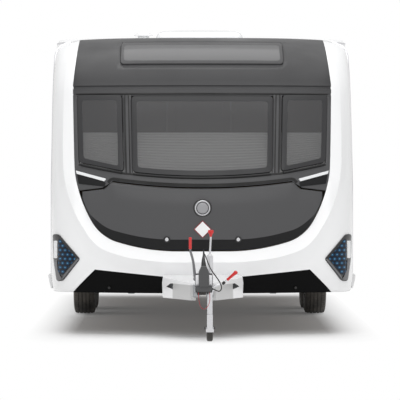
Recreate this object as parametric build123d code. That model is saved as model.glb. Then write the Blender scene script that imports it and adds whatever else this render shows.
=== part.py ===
"""Twin-axle travel caravan, in millimetres.

X runs across the caravan (+X is its near side, with the entrance door), Y runs from the tow coupling
to the rear, and Z is up. The origin lies on the ground at the centre of the caravan's plan.
"""

import os
from math import asin, cos, hypot, pi, radians, sin, sqrt, tan

from build123d import *

os.makedirs("parts", exist_ok=True)

# ---------------------------------------------------------------- driving dimensions
OVERALL_LENGTH = 7700
DRAWBAR_REACH = 1350  # coupling nose to the foremost point of the body
BODY_WIDTH = 2400
ROOF_TOP = 2440
BODY_FOOT = 330
WAIST = 1150  # below it the front stands upright, above it the front rakes back
WALL = 32  # sandwich wall, roof and mouldings
PANE = 24  # double acrylic window unit
FLOOR_FOOT = 430
FLOOR_THICKNESS = 40
FIT = 0.3  # clearance between pieces that seat on each other
DOOR_GAP = 8  # running gap round a door

COUPLING_Y = -OVERALL_LENGTH / 2
FRONT_Y = COUPLING_Y + DRAWBAR_REACH
REAR_Y = OVERALL_LENGTH / 2
HALF = BODY_WIDTH / 2
FLOOR_TOP = FLOOR_FOOT + FLOOR_THICKNESS
INNER_HALF = HALF - WALL

# plan of the body: a shallow bow across the front, then a tangent corner arc
BOW_RADIUS = 2600
CORNER_RUN = 250  # width of each front corner arc
REAR_CORNER = 120

# running gear
TYRE_RADIUS = 308
TYRE_WIDTH = 190
RIM_RADIUS = 190
RIM_LIP = 6
TRACK_OUTSIDE = 2240  # over the tyres' outer faces
AXLE_CENTRE_Y = 1190
AXLE_SPACING = 820
HUB_BORE = 50

# wheel arches
ARCH_LENGTH = 1580
ARCH_TOP = 690
ARCH_RADIUS = 150
BOX_DEPTH = 288  # how far the wheel box reaches in from the wall
BOX_SKIN = 8

# skirts
SKIRT_TOP = 460
SKIRT_FOOT = 345
SKIRT_PROUD = 30

# joints between the body panels
FRONT_JOINT = 620  # behind the front, on the side, up to the waist
REAR_JOINT = 180
ROOF_JOINT = ROOF_TOP - 110

# chassis
CHASSIS_FOOT = 315
MEMBER_X = 560
MEMBER_FLANGE = 50
MEMBER_WEB = 6
A_FRAME_X = 45
A_FRAME_NOSE_Y = COUPLING_Y + 720
A_FRAME_SLOPE = 0.35
A_FRAME_WIDTH = 45
A_FRAME_FOOT = 335
MEMBER_FRONT_Y = FRONT_Y + 350
MEMBER_REAR_Y = REAR_Y - 300

# jockey wheel
JOCKEY_X = 50
JOCKEY_Y = COUPLING_Y + 670
JOCKEY_RADIUS = 100
JOCKEY_WIDTH = 46
JOCKEY_TRAIL = 85
JOCKEY_TUBE = 24  # outer radius of the outer tube
JOCKEY_STEM = 20  # outer radius of the sliding stem
JOCKEY_TUBE_FOOT = 360
JOCKEY_TUBE_TOP = 650
JOCKEY_LIFT = 100


# ---------------------------------------------------------------- helpers
def block(x0, x1, y0, y1, z0, z1):
    """Box between two corners."""
    return Pos((x0 + x1) / 2, (y0 + y1) / 2, (z0 + z1) / 2) * Box(x1 - x0, y1 - y0, z1 - z0)


def outline(points):
    """Flat face inside a closed run of straight lines."""
    return make_face(Polyline(*points, close=True))


def front_prism(face, y0, y1):
    """Face drawn in X and Z, as seen from the front, carried from y0 to y1."""
    plane = Plane(origin=(0, y1, 0), x_dir=(1, 0, 0), z_dir=(0, -1, 0))
    return extrude(plane * face, amount=y1 - y0)


def side_prism(face, x0, x1):
    """Face drawn in Y and Z, carried from x0 to x1."""
    plane = Plane(origin=(x0, 0, 0), x_dir=(0, 1, 0), z_dir=(1, 0, 0))
    return extrude(plane * face, amount=x1 - x0)


def plan_prism(face, z0, z1):
    """Face drawn in X and Y, carried from z0 to z1."""
    return Pos(0, 0, z0) * extrude(face, amount=z1 - z0)


def both_sides(piece):
    """The piece and its mirror image across the caravan."""
    return [piece, mirror(piece, about=Plane.YZ)]


def rod(start, end, radius):
    """Round bar between two points."""
    along = Vector(*end) - Vector(*start)
    plane = Plane(origin=start, z_dir=along)
    return extrude(plane * Circle(radius), amount=along.length)


def turned(profile, x0, y, z):
    """Solid of revolution about a line along X; the profile's columns are: distance along X, radius."""
    face = make_face(Polyline(*[(x0 + along, radius) for along, radius in profile], close=True))
    plane = Plane(origin=(0, y, z), x_dir=(1, 0, 0), z_dir=(0, -1, 0))
    return revolve(plane * face, axis=Axis((0, y, z), (1, 0, 0)))


HINGE_RISE = 10  # the pin stands this far over the surface
HINGE_REACH = 24
KNUCKLE = 6
HINGE_PIN = 3


def hinge(centre, along, across, length):
    """Butt hinge, as its fixed leaf with the pin and its moving leaf with the middle knuckle.

    The pin runs along the line of swing, across points from the fixed to the moving side.
    """
    plane = Plane(origin=centre, x_dir=across, z_dir=along)
    third = length / 3

    def bar(radius, low, high):
        return Pos(0, 0, (low + high) / 2) * Cylinder(radius, high - low)

    fixed = bar(HINGE_PIN, -length / 2, length / 2)
    for low in (-length / 2, length / 2 - third):
        leaf = block(-HINGE_REACH, 0, -HINGE_RISE - 4, -2, low, low + third)
        fixed = fixed + bar(KNUCKLE, low, low + third) + leaf
    middle_half = third / 2 - 0.5
    moving = bar(KNUCKLE, -middle_half, middle_half)
    moving = moving + block(0, HINGE_REACH, -HINGE_RISE - 4, -2, -middle_half, middle_half)
    moving = moving - bar(HINGE_PIN + FIT, -length, length)
    return plane.location * fixed, plane.location * moving


def facet(*points):
    """Flat triangle or polygon between points."""
    return Face(Wire(Polyline(*points, close=True)))


def faceted(sections):
    """Closed solid of flat triangles through sections of as many corners each."""
    faces = []
    for near, far in zip(sections, sections[1:]):
        for a, b, c, d in zip(near, near[1:] + near[:1], far, far[1:] + far[:1]):
            faces += [facet(a, b, c), facet(b, d, c)]
    for end in (sections[0], sections[-1]):
        faces += [facet(end[0], low, high) for low, high in zip(end[1:], end[2:])]
    solid = Solid(Shell(faces))
    return solid if solid.volume > 0 else Solid(solid.wrapped.Reversed())


def save(name, *pieces):
    """Write one node; several pieces in a node do not touch each other."""
    solids = [solid for piece in pieces for solid in piece.solids()]
    node = solids[0] if len(solids) == 1 else Compound(children=solids)
    node.label = name
    export_step(node, f"parts/{name}.step")


# ---------------------------------------------------------------- body hull
# columns: height, front setback, rear setback, narrower each side
BODY_SECTIONS = (
    (BODY_FOOT, 40, 50, 15),
    (BODY_FOOT + 120, 12, 10, 0),
    (BODY_FOOT + 250, 0, 0, 0),
    (WAIST - 250, 10, 0, 0),
    (WAIST, 25, 0, 0),
    (WAIST + 150, 70, 10, 0),
    (ROOF_TOP - 550, 300, 50, 0),
    (ROOF_TOP - 470, 352, 60, 0),
    (ROOF_TOP - 290, 560, 100, 2),
    (ROOF_TOP - 165, 800, 150, 5),
    (ROOF_TOP - 105, 1000, 200, 10),
    (ROOF_TOP - 70, 1200, 260, 15),
    (ROOF_TOP - 40, 1850, 500, 32),
    (ROOF_TOP, 3100, 1400, 80),
)


def plan_section(height, front, rear, half, inset):
    """Closed plan outline at one height, set in evenly by inset; front, rear and half are before it."""
    bow_x = half - CORNER_RUN
    turn = asin(bow_x / BOW_RADIUS)
    corner = CORNER_RUN / (1 - sin(turn))
    bow_centre = Vector(0, front + BOW_RADIUS, height)
    corner_centre = bow_centre + (BOW_RADIUS - corner) * Vector(sin(turn), -cos(turn), 0)
    bow_radius = BOW_RADIUS - inset
    corner_radius = corner - inset
    rear_radius = REAR_CORNER - inset
    rear_centre = Vector(half - REAR_CORNER, rear - REAR_CORNER, height)

    def at(centre, radius, angle):
        return centre + radius * Vector(cos(angle), sin(angle), 0)

    bow_angle = turn - pi / 2
    nose = at(bow_centre, bow_radius, -pi / 2)
    bow_end = at(bow_centre, bow_radius, bow_angle)
    corner_mid = at(corner_centre, corner_radius, bow_angle / 2)
    corner_end = at(corner_centre, corner_radius, 0)
    rear_start = at(rear_centre, rear_radius, 0)
    rear_mid = at(rear_centre, rear_radius, pi / 4)
    rear_end = at(rear_centre, rear_radius, pi / 2)

    def other(point):
        return Vector(-point.X, point.Y, point.Z)

    edges = [
        ThreePointArc(other(bow_end), nose, bow_end),
        ThreePointArc(bow_end, corner_mid, corner_end),
        Line(corner_end, rear_start),
        ThreePointArc(rear_start, rear_mid, rear_end),
        Line(rear_end, other(rear_end)),
        ThreePointArc(other(rear_end), other(rear_mid), other(rear_start)),
        Line(other(rear_start), other(corner_end)),
        ThreePointArc(other(corner_end), other(corner_mid), other(bow_end)),
    ]
    return make_face(Wire(edges))


def hull(depth):
    """The body's outer form, set in by depth along the normal of its side profile, open-ended below."""
    sections = []
    last = len(BODY_SECTIONS) - 1
    for index, (height, front, rear, narrower) in enumerate(BODY_SECTIONS):
        below = BODY_SECTIONS[max(index - 1, 0)]
        above = BODY_SECTIONS[min(index + 1, last)]
        rise = above[0] - below[0]
        front_slope = hypot(rise, above[1] - below[1])
        rear_slope = hypot(rise, above[2] - below[2])
        drop = depth * max(above[1] - below[1], 0) / front_slope
        front_y = FRONT_Y + front + depth * (rise / front_slope - 1)
        rear_y = REAR_Y - rear - depth * (rise / rear_slope - 1)
        if index == 0:
            drop = depth and 20 + depth
        sections.append(plan_section(height - drop, front_y, rear_y, HALF - narrower, depth))
    return loft(sections, ruled=True)


outer = hull(0)
lining = hull(WALL)
glazing_back = hull(PANE)
LID_SKIN = 10
lid_back = hull(LID_SKIN)
room = hull(WALL + FIT)
skin = outer - lining
pane_skin = outer - glazing_back
lid_skin = outer - lid_back

# ---------------------------------------------------------------- panel joints, drawn in Y and Z
ABOVE = ROOF_TOP + 100
BELOW = 200
DARK_ROOF_END = 1320  # the dark front panel runs this far back over the roof
front_zone = side_prism(
    outline([
        (FRONT_Y - 100, BELOW),
        (FRONT_Y + FRONT_JOINT, BELOW),
        (FRONT_Y + FRONT_JOINT, WAIST),
        (FRONT_Y + FRONT_JOINT + 320, ROOF_TOP - 550),
        (FRONT_Y + FRONT_JOINT + 530, ROOF_TOP - 290),
        (FRONT_Y + DARK_ROOF_END, ROOF_TOP - 50),
        (FRONT_Y + DARK_ROOF_END, ABOVE),
        (FRONT_Y - 100, ABOVE),
    ]),
    -HALF - 50,
    HALF + 50,
)
rear_zone = side_prism(
    outline([
        (REAR_Y - REAR_JOINT, BELOW),
        (REAR_Y - REAR_JOINT, ROOF_TOP - 440),
        (REAR_Y - REAR_JOINT - 240, ROOF_JOINT),
        (REAR_Y - REAR_JOINT - 440, ABOVE),
        (REAR_Y + 100, ABOVE),
        (REAR_Y + 100, BELOW),
    ]),
    -HALF - 50,
    HALF + 50,
)
middle = skin - front_zone - rear_zone
FRONT_REACH = (FRONT_Y - 60, FRONT_Y + DARK_ROOF_END + 40)


# ---------------------------------------------------------------- front outlines, drawn in X and Z
def mirrored_outline(right_half):
    """Closed face from the edges of its right half, given from the bottom centre round to the top centre."""
    half_wire = Wire(right_half)
    return make_face(Wire([*half_wire.edges(), *mirror(half_wire, about=Plane.YZ).edges()]))


# the dark panel's edge: distances in from the body's side, and heights
DARK_FOOT = 661
dark_corner = [
    (HALF - 560, DARK_FOOT + 63),
    (HALF - 410, DARK_FOOT + 137),
    (HALF - 330, DARK_FOOT + 234),
    (HALF - 235, DARK_FOOT + 449),
    (HALF - 190, DARK_FOOT + 669),
    (HALF - 170, ROOF_TOP - 470),
    (HALF - 200, ROOF_TOP - 95),
]
dark_face = mirrored_outline([
    Line((0, DARK_FOOT), (200, DARK_FOOT)),
    TangentArc((200, DARK_FOOT), dark_corner[0], tangent=(1, 0)),
    ThreePointArc(*dark_corner[0:3]),
    ThreePointArc(*dark_corner[2:5]),
    Line(dark_corner[4], dark_corner[5]),
    Line(dark_corner[5], dark_corner[6]),
    Line(dark_corner[6], (HALF - 200, ABOVE)),
    Line((HALF - 200, ABOVE), (0, ABOVE)),
])
dark_prism = front_prism(dark_face, *FRONT_REACH)

# the top edge of the gas locker's lid
LID_GAP = 9
lid_top = [(0, 1156), (409, 1174), (711, 1206), (765, 1152), (HALF - 160, 1118)]
below_lid_top = outline([
    *lid_top,
    (HALF - 160, 300),
    (160 - HALF, 300),
    *[(-x, z) for x, z in reversed(lid_top[1:])],
])
lid_face = dark_face & below_lid_top
LID_CORNER = 30  # rounds the lid's upper outer corners, so that they clear the shell as it swings
lid_plate = offset(lid_face, -LID_GAP / 2)
lid_upper_corners = [v for v in lid_plate.vertices() if abs(v.X) > HALF - 300 and v.Y > WAIST - 60]
lid_prism = front_prism(fillet(lid_upper_corners, LID_CORNER), *FRONT_REACH)
lid_core_prism = front_prism(offset(lid_face, -LID_GAP / 2 - 45), *FRONT_REACH)
lid_opening = front_prism(offset(lid_face, LID_GAP / 2), *FRONT_REACH)
below_top_prism = front_prism(below_lid_top, *FRONT_REACH)

# front windows: columns are X, Z, going round each pane
CENTRE_PANE = [(-548, 1273), (0, 1242), (548, 1273), (563, 1878), (-563, 1878)]
SIDE_PANE = [(612, 1278), (972, 1349), (997, 1889), (632, 1887)]
LAMP_BAR = [(761, 1210), (765, 1160), (970, 1181), (980, 1282)]
PANE_CORNER = 25


def rounded_face(points, radius):
    """Flat face with every corner rounded."""
    face = outline(points)
    return fillet(face.vertices(), radius)


centre_face = rounded_face(CENTRE_PANE, PANE_CORNER)
side_face = rounded_face(SIDE_PANE, PANE_CORNER)
lamp_bar_face = outline(LAMP_BAR)
SKYLIGHT_HALF = 655
SKYLIGHT_FOOT = ROOF_TOP - 308
SKYLIGHT_TOP = ROOF_TOP - 113
skylight_face = rounded_face(
    [
        (-SKYLIGHT_HALF, SKYLIGHT_FOOT),
        (SKYLIGHT_HALF, SKYLIGHT_FOOT),
        (SKYLIGHT_HALF, SKYLIGHT_TOP),
        (-SKYLIGHT_HALF, SKYLIGHT_TOP),
    ],
    PANE_CORNER,
)
front_openings = [
    front_prism(centre_face, *FRONT_REACH),
    *both_sides(front_prism(side_face, *FRONT_REACH)),
]
skylight_opening = front_prism(skylight_face, *FRONT_REACH)
lamp_bar_openings = both_sides(front_prism(lamp_bar_face, *FRONT_REACH))

# corner lamp clusters and the black lower panel, drawn on the near side
LAMP_CORNER = [
    (HALF - 21, 785),
    (HALF - 69, 788),
    (HALF - 243, 596),
    (HALF - 103, 418),
    (HALF - 55, 415),
    (HALF - 27, 594),
]
LAMP_REACH = 430
lamp_face = outline(LAMP_CORNER)
lamp_prisms = both_sides(front_prism(lamp_face, FRONT_Y - 60, FRONT_Y + LAMP_REACH))
lower_face = outline([
    (-315, 465),
    (315, 465),
    (HALF - 357, 515),
    (HALF - 179, BODY_FOOT - 20),
    (179 - HALF, BODY_FOOT - 20),
    (357 - HALF, 515),
])
lower_prism = front_prism(lower_face, *FRONT_REACH)


# ---------------------------------------------------------------- front of the body
def a_frame_member(width, foot, top):
    """Near-side arm of the A-frame, from the nose to the chassis member."""
    run = (MEMBER_X - A_FRAME_X) / A_FRAME_SLOPE
    rear_y = A_FRAME_NOSE_Y + run
    half_width = width / 2 * sqrt(1 + A_FRAME_SLOPE**2)
    return plan_prism(
        outline([
            (A_FRAME_X - half_width, A_FRAME_NOSE_Y),
            (A_FRAME_X + half_width, A_FRAME_NOSE_Y),
            (MEMBER_X + half_width, rear_y),
            (MEMBER_X - half_width, rear_y),
        ]),
        foot,
        top,
    )


# the raised ridge of the white surround, from the bottom centre up the near side
# columns: X and height of its crest, how far the crest stands proud, width of the slope outside it
RIDGE_CREST = (
    (0, 561, 30, 66),
    (270, 563, 30, 66),
    (539, 597, 30, 80),
    (719, 650, 30, 96),
    (846, 720, 30, 110),
    (919, 810, 30, 110),
    (992, 944, 30, 110),
    (1048, 1123, 28, 110),
    (1088, 1304, 24, 105),
    (1118, 1531, 15, 80),
    (1134, 1760, 7, 50),
    (1140, 1900, 3, 30),
)
RIDGE_EDGE = 6  # its inner side stands this far out from the dark panel
RIDGE_ROOT = 5  # it is rooted this deep in the shell


def nose_place(x, height, out=0.0):
    """Point over the front of the body, out from it along its plan's normal; past the bow, x is along the corner."""
    rows = zip(BODY_SECTIONS, BODY_SECTIONS[1:])
    low, high = next((a, b) for a, b in rows if a[0] <= height <= b[0])
    share = (height - low[0]) / (high[0] - low[0])
    front = FRONT_Y + low[1] + share * (high[1] - low[1])
    half = HALF - low[3] - share * (high[3] - low[3])
    bow_x = half - CORNER_RUN
    turn = asin(bow_x / BOW_RADIUS)
    corner = CORNER_RUN / (1 - sin(turn))
    angle = x / BOW_RADIUS if x < BOW_RADIUS * turn else turn + (x - BOW_RADIUS * turn) / corner
    outward = Vector(sin(angle), -cos(angle), 0)
    if angle <= turn:
        return Vector(0, front + BOW_RADIUS, height) + outward * (BOW_RADIUS + out)
    centre = Vector(0, front + BOW_RADIUS, height) + Vector(sin(turn), -cos(turn), 0) * (BOW_RADIUS - corner)
    return centre + outward * (corner + out)


def run_along(x):
    """Distance round the nose from its middle to X, at the waist."""
    bow_x = HALF - CORNER_RUN
    turn = asin(bow_x / BOW_RADIUS)
    if x <= bow_x:
        return BOW_RADIUS * asin(x / BOW_RADIUS)
    corner = CORNER_RUN / (1 - sin(turn))
    return BOW_RADIUS * turn + corner * (asin(1 - (HALF - x) / corner) - turn)


ridge_sections = []
dark_wire = dark_face.faces()[0].outer_wire()
for x, height, rise, fall in RIDGE_CREST:
    near_edge = dark_wire.distance_to_with_closest_points(Vector(x, height, 0))[1]
    away = (Vector(x, height, 0) - near_edge).normalized()
    inner = near_edge + away * RIDGE_EDGE
    outer = Vector(x, height, 0) + away * fall
    ridge_sections.append([
        nose_place(run_along(x), height, -RIDGE_ROOT),
        nose_place(run_along(inner.X), inner.Y, -RIDGE_ROOT),
        nose_place(run_along(inner.X), inner.Y, 1),
        nose_place(run_along(x), height, rise),
        nose_place(run_along(outer.X), outer.Y, 0),
        nose_place(run_along(outer.X), outer.Y, -RIDGE_ROOT),
    ])
ridge = faceted(ridge_sections)

# the gas locker's lid bulges out to a lip low down and falls back under it
# columns: X and height of the lip, how far it stands proud, X and height of the bulge's top
LID_BULGE = (
    (0, 750, 26, 0, 1110),
    (359, 760, 26, 330, 1110),
    (539, 777, 26, 470, 1100),
    (719, 846, 24, 620, 1090),
    (810, 918, 17, 740, 1080),
    (872, 1010, 5, 850, 1070),
)
BULGE_EDGE = LID_GAP / 2 + 6  # the bulge ends this far in from the dark panel's edge
BULGE_ROOT = 5
bulge_sections = []
for x, height, rise, top_x, top in LID_BULGE:
    near_edge = dark_wire.distance_to_with_closest_points(Vector(x, height, 0))[1]
    foot = near_edge - (near_edge - Vector(x, height, 0)).normalized() * BULGE_EDGE
    bulge_sections.append([
        nose_place(run_along(top_x), top, -BULGE_ROOT),
        nose_place(run_along(top_x), top, 0.5),
        nose_place(run_along(x), height, rise),
        nose_place(run_along(foot.X), foot.Y, 0.5),
        nose_place(run_along(foot.X), foot.Y, -BULGE_ROOT),
    ])
lid_bulge = faceted(bulge_sections)

A_FRAME_CLEARANCE = 5
frame_notches = both_sides(
    a_frame_member(A_FRAME_WIDTH + 2 * A_FRAME_CLEARANCE, BODY_FOOT - 40, FLOOR_FOOT + A_FRAME_CLEARANCE)
)
front_skin = skin & front_zone
white_front = front_skin
for piece in both_sides(ridge):
    white_front = white_front + piece
white_front = white_front - dark_prism - lower_prism - lid_opening
dark_front = (front_skin & dark_prism) - below_top_prism - lid_opening
lower_front = (front_skin & lower_prism) - block(-HALF, HALF, FRONT_Y + 200, REAR_Y, 0, WAIST)
for lamp_prism in lamp_prisms:
    white_front = white_front - lamp_prism
for opening in [*front_openings, *lamp_bar_openings, skylight_opening]:
    dark_front = dark_front - opening
for notch in frame_notches:
    lower_front = lower_front - notch
    white_front = white_front - notch

LID_HINGE_Z = 1160
LID_HINGE_Y = FRONT_Y + 18
lid_hinge = hinge((0, LID_HINGE_Y, LID_HINGE_Z), (-1, 0, 0), (0, 0, -1), 240)
save("front_shell", white_front)
save("front_window_panel", dark_front + lid_hinge[0])
save("lower_front_panel", lower_front)

front_lid = (lid_skin & front_zone & lid_prism) + (front_skin & lid_core_prism)
for piece in both_sides(lid_bulge):
    front_lid = front_lid + piece
save("gas_locker_lid", front_lid + lid_hinge[1])


def seated(face):
    """The face drawn in by the fit."""
    return offset(face, -FIT)


front_pane_skin = pane_skin & front_zone
save(
    "front_windows",
    front_pane_skin & front_prism(seated(centre_face), *FRONT_REACH),
    *both_sides(front_pane_skin & front_prism(seated(side_face), *FRONT_REACH)),
)
save("skylight_glass", front_pane_skin & front_prism(seated(skylight_face), *FRONT_REACH))
lamp_bar = front_skin & front_prism(seated(lamp_bar_face), *FRONT_REACH)
corner_lamp = front_skin & front_prism(seated(lamp_face), FRONT_Y - 60, FRONT_Y + LAMP_REACH - FIT)
save("front_lamps", *both_sides(lamp_bar), *both_sides(corner_lamp))

# ---------------------------------------------------------------- side walls, drawn in Y and Z
arch_face = Pos(AXLE_CENTRE_Y, ARCH_TOP - 400) * RectangleRounded(ARCH_LENGTH, 800, ARCH_RADIUS)

# columns: centre Y, length, foot, top, corner radius
NEAR_WINDOWS = (
    (FRONT_Y + 1380, 760, 1240, 1860, 60),
    (FRONT_Y + 3700, 900, 1240, 1860, 60),
    (FRONT_Y + 5300, 800, 1240, 1860, 60),
)
FAR_WINDOWS = (
    (FRONT_Y + 1380, 760, 1240, 1860, 60),
    (FRONT_Y + 2900, 900, 1240, 1860, 60),
    (FRONT_Y + 5300, 800, 1240, 1860, 60),
)
DOOR = (FRONT_Y + 2175, 650, FLOOR_TOP, 2150, 60)
LOCKER_DOOR = (FRONT_Y + 940, 500, 530, 850, 30)
SERVICE_DOOR = (FRONT_Y + 5275, 350, 550, 950, 30)
DOOR_LIGHT = (FRONT_Y + 2175, 330, 1350, 1950, 40)


def side_face_of(window, inset=0.0):
    """Rounded rectangle in Y and Z, drawn in by inset."""
    centre_y, length, foot, top, radius = window
    flat = RectangleRounded(length - 2 * inset, top - foot - 2 * inset, radius - inset)
    return Pos(centre_y, (foot + top) / 2) * flat


def wall_hole(window, side, inset=0.0):
    """Prism through one side wall; side is 1 for the near side and -1 for the far side."""
    x0, x1 = sorted((side * (INNER_HALF - 60), side * (HALF + 60)))
    return side_prism(side_face_of(window, inset), x0, x1)


HINGE_LINE_X = HALF + HINGE_RISE
door_hinge_y = DOOR[0] - DOOR[1] / 2 + DOOR_GAP / 2
door_hinges = [
    hinge((HINGE_LINE_X, door_hinge_y, z), (0, 0, -1), (0, 1, 0), 90)
    for z in (DOOR[2] + 230, DOOR[3] - 230)
]
locker_hinge_z = LOCKER_DOOR[3] - DOOR_GAP / 2
locker_hinges = [
    hinge((HINGE_LINE_X, LOCKER_DOOR[0] + y, locker_hinge_z), (0, -1, 0), (0, 0, -1), 60)
    for y in (-150, 150)
]
service_hinge_y = SERVICE_DOOR[0] - SERVICE_DOOR[1] / 2 + DOOR_GAP / 2
service_hinges = [
    hinge((-HINGE_LINE_X, service_hinge_y, z), (0, 0, 1), (0, 1, 0), 60)
    for z in (SERVICE_DOOR[2] + 90, SERVICE_DOOR[3] - 90)
]
wall_band = block(-HALF - 10, HALF + 10, FRONT_Y, REAR_Y, FLOOR_FOOT, ROOF_JOINT)
walls = middle & wall_band
side_panes = []
for side, name, windows, doors, hinges in (
    (1, "near", NEAR_WINDOWS, (DOOR, LOCKER_DOOR), door_hinges + locker_hinges),
    (-1, "far", FAR_WINDOWS, (SERVICE_DOOR,), service_hinges),
):
    x0, x1 = sorted((side * 600, side * (HALF + 60)))
    wall = walls & block(x0, x1, FRONT_Y, REAR_Y, 0, ROOF_JOINT)
    wall = wall - side_prism(arch_face, x0, x1)
    for window in (*windows, *doors):
        wall = wall - wall_hole(window, side)
    for fixed, _ in hinges:
        wall = wall + fixed
    save(f"side_wall_{name}", wall)
    half_body = block(x0, x1, FRONT_Y, REAR_Y, 0, ROOF_TOP)
    side_panes += [pane_skin & half_body & wall_hole(window, side, FIT) for window in windows]
save("side_windows", *side_panes)

near_half = block(INNER_HALF - 100, HALF + 60, FRONT_Y, REAR_Y, 0, ROOF_TOP)
far_half = mirror(near_half, about=Plane.YZ)


def with_hinges(panel, hinges):
    """The door panel with its moving hinge leaves."""
    for _, moving in hinges:
        panel = panel + moving
    return panel


door = (skin & near_half & wall_hole(DOOR, 1, DOOR_GAP)) - wall_hole(DOOR_LIGHT, 1)
save("entrance_door", with_hinges(door, door_hinges))
save("door_window", pane_skin & near_half & wall_hole(DOOR_LIGHT, 1, FIT))
save("locker_door", with_hinges(skin & near_half & wall_hole(LOCKER_DOOR, 1, DOOR_GAP), locker_hinges))
save("service_door", with_hinges(skin & far_half & wall_hole(SERVICE_DOOR, -1, DOOR_GAP), service_hinges))

# ---------------------------------------------------------------- roof and rear
ROOFLIGHT_Y = (AXLE_CENTRE_Y + 10, AXLE_CENTRE_Y + 710)
ROOFLIGHT_HALF = 420
ROOFLIGHT_TOP = ROOF_TOP + 117
roof = middle & block(-HALF - 10, HALF + 10, FRONT_Y, REAR_Y, ROOF_JOINT, ABOVE)
ROOFLIGHT_LEDGE = 70  # the lid lies over the roof opening's edge by this much
rooflight_hole = block(
    ROOFLIGHT_LEDGE - ROOFLIGHT_HALF,
    ROOFLIGHT_HALF - ROOFLIGHT_LEDGE,
    ROOFLIGHT_Y[0] + ROOFLIGHT_LEDGE,
    ROOFLIGHT_Y[1] - ROOFLIGHT_LEDGE,
    ROOF_JOINT - 10,
    ABOVE,
)
save("roof_panel", roof - rooflight_hole)

rooflight_base = Plane(origin=(0, sum(ROOFLIGHT_Y) / 2, ROOF_TOP - 60)) * RectangleRounded(
    2 * ROOFLIGHT_HALF, ROOFLIGHT_Y[1] - ROOFLIGHT_Y[0], 60
)
rooflight_lid = Plane(origin=(0, sum(ROOFLIGHT_Y) / 2, ROOFLIGHT_TOP)) * RectangleRounded(
    2 * ROOFLIGHT_HALF - 60, ROOFLIGHT_Y[1] - ROOFLIGHT_Y[0] - 60, 60
)
rooflight_shape = loft([rooflight_base, rooflight_lid], ruled=True) - hull(-FIT)
save("rooflight", rooflight_shape)

REAR_REACH = (REAR_Y - 700, REAR_Y + 60)
rear_skin = skin & rear_zone
REAR_WINDOW_HALF = 620
rear_window_face = Pos(0, 1560) * RectangleRounded(2 * REAR_WINDOW_HALF, 600, 60)
REAR_LAMP = [(HALF - 190, 620), (HALF - 40, 620), (HALF - 40, 1060), (HALF - 110, 1060)]
rear_lamp_face = outline(REAR_LAMP)
BUMPER_TOP = 520
bumper_prism = block(-HALF - 10, HALF + 10, REAR_Y - REAR_JOINT, REAR_Y + 60, BELOW, BUMPER_TOP)
rear_lamp_prisms = both_sides(front_prism(rear_lamp_face, REAR_Y - 110, REAR_Y + 60))
rear_panel = rear_skin - front_prism(rear_window_face, *REAR_REACH) - bumper_prism
for lamp_prism in rear_lamp_prisms:
    rear_panel = rear_panel - lamp_prism
save("rear_panel", rear_panel)
save("rear_window", pane_skin & front_prism(offset(rear_window_face, -FIT), *REAR_REACH))
save(
    "rear_lamps",
    *both_sides(rear_skin & front_prism(offset(rear_lamp_face, -FIT), REAR_Y - 110 + FIT, REAR_Y + 60)),
)
save("rear_bumper", rear_skin & bumper_prism)

# ---------------------------------------------------------------- floor, wheel boxes, skirts
BOX_X = (INNER_HALF - BOX_DEPTH, INNER_HALF)
BOX_Y = (AXLE_CENTRE_Y - ARCH_LENGTH / 2 - BOX_SKIN, AXLE_CENTRE_Y + ARCH_LENGTH / 2 + BOX_SKIN)
floor = room & block(-HALF, HALF, FRONT_Y, REAR_Y, FLOOR_FOOT, FLOOR_TOP)
box_hole = block(BOX_X[0] - FIT, HALF, BOX_Y[0] - FIT, BOX_Y[1] + FIT, 0, WAIST)
for hole in both_sides(box_hole):
    floor = floor - hole
save("floor", floor)

wheel_box = block(*BOX_X, *BOX_Y, FLOOR_FOOT, ARCH_TOP + BOX_SKIN) - block(
    BOX_X[0] + BOX_SKIN, HALF, BOX_Y[0] + BOX_SKIN, BOX_Y[1] - BOX_SKIN, 0, ARCH_TOP
)
save("wheel_boxes", *both_sides(wheel_box & room))

# the skirt's section: columns are distance out from the body's side, and height
SKIRT_SECTION = [
    (0, SKIRT_TOP),
    (SKIRT_PROUD, SKIRT_TOP - 6),
    (SKIRT_PROUD - 4, SKIRT_TOP - 40),
    (SKIRT_PROUD - 22, SKIRT_FOOT),
    (-6, SKIRT_FOOT),
    (-6, FLOOR_FOOT - FIT),
    (0, FLOOR_FOOT - FIT),
]
skirt_face = outline([(HALF + out, z) for out, z in SKIRT_SECTION])
skirt = front_prism(skirt_face, FRONT_Y + FRONT_JOINT + FIT, REAR_Y - REAR_JOINT - FIT)
skirt = skirt - side_prism(arch_face, 0, HALF + 60)
save("skirts", *both_sides(skirt))

# ---------------------------------------------------------------- chassis
a_frame_run = (MEMBER_X - A_FRAME_X) / A_FRAME_SLOPE
A_FRAME_REAR_Y = A_FRAME_NOSE_Y + a_frame_run
member_section = outline([
    (MEMBER_X - MEMBER_FLANGE / 2, CHASSIS_FOOT),
    (MEMBER_X + MEMBER_FLANGE / 2, CHASSIS_FOOT),
    (MEMBER_X + MEMBER_FLANGE / 2, CHASSIS_FOOT + MEMBER_WEB),
    (MEMBER_X - MEMBER_FLANGE / 2 + MEMBER_WEB, CHASSIS_FOOT + MEMBER_WEB),
    (MEMBER_X - MEMBER_FLANGE / 2 + MEMBER_WEB, FLOOR_FOOT - MEMBER_WEB),
    (MEMBER_X + MEMBER_FLANGE / 2, FLOOR_FOOT - MEMBER_WEB),
    (MEMBER_X + MEMBER_FLANGE / 2, FLOOR_FOOT),
    (MEMBER_X - MEMBER_FLANGE / 2, FLOOR_FOOT),
])
save("chassis_members", *both_sides(front_prism(member_section, MEMBER_FRONT_Y, MEMBER_REAR_Y)))
inner_face = MEMBER_X - MEMBER_FLANGE / 2
a_frame_arm = a_frame_member(A_FRAME_WIDTH, A_FRAME_FOOT, FLOOR_FOOT)
a_frame_arm = a_frame_arm - block(inner_face - FIT, HALF, FRONT_Y, REAR_Y, 0, WAIST)
save("a_frame_members", *both_sides(a_frame_arm))

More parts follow.
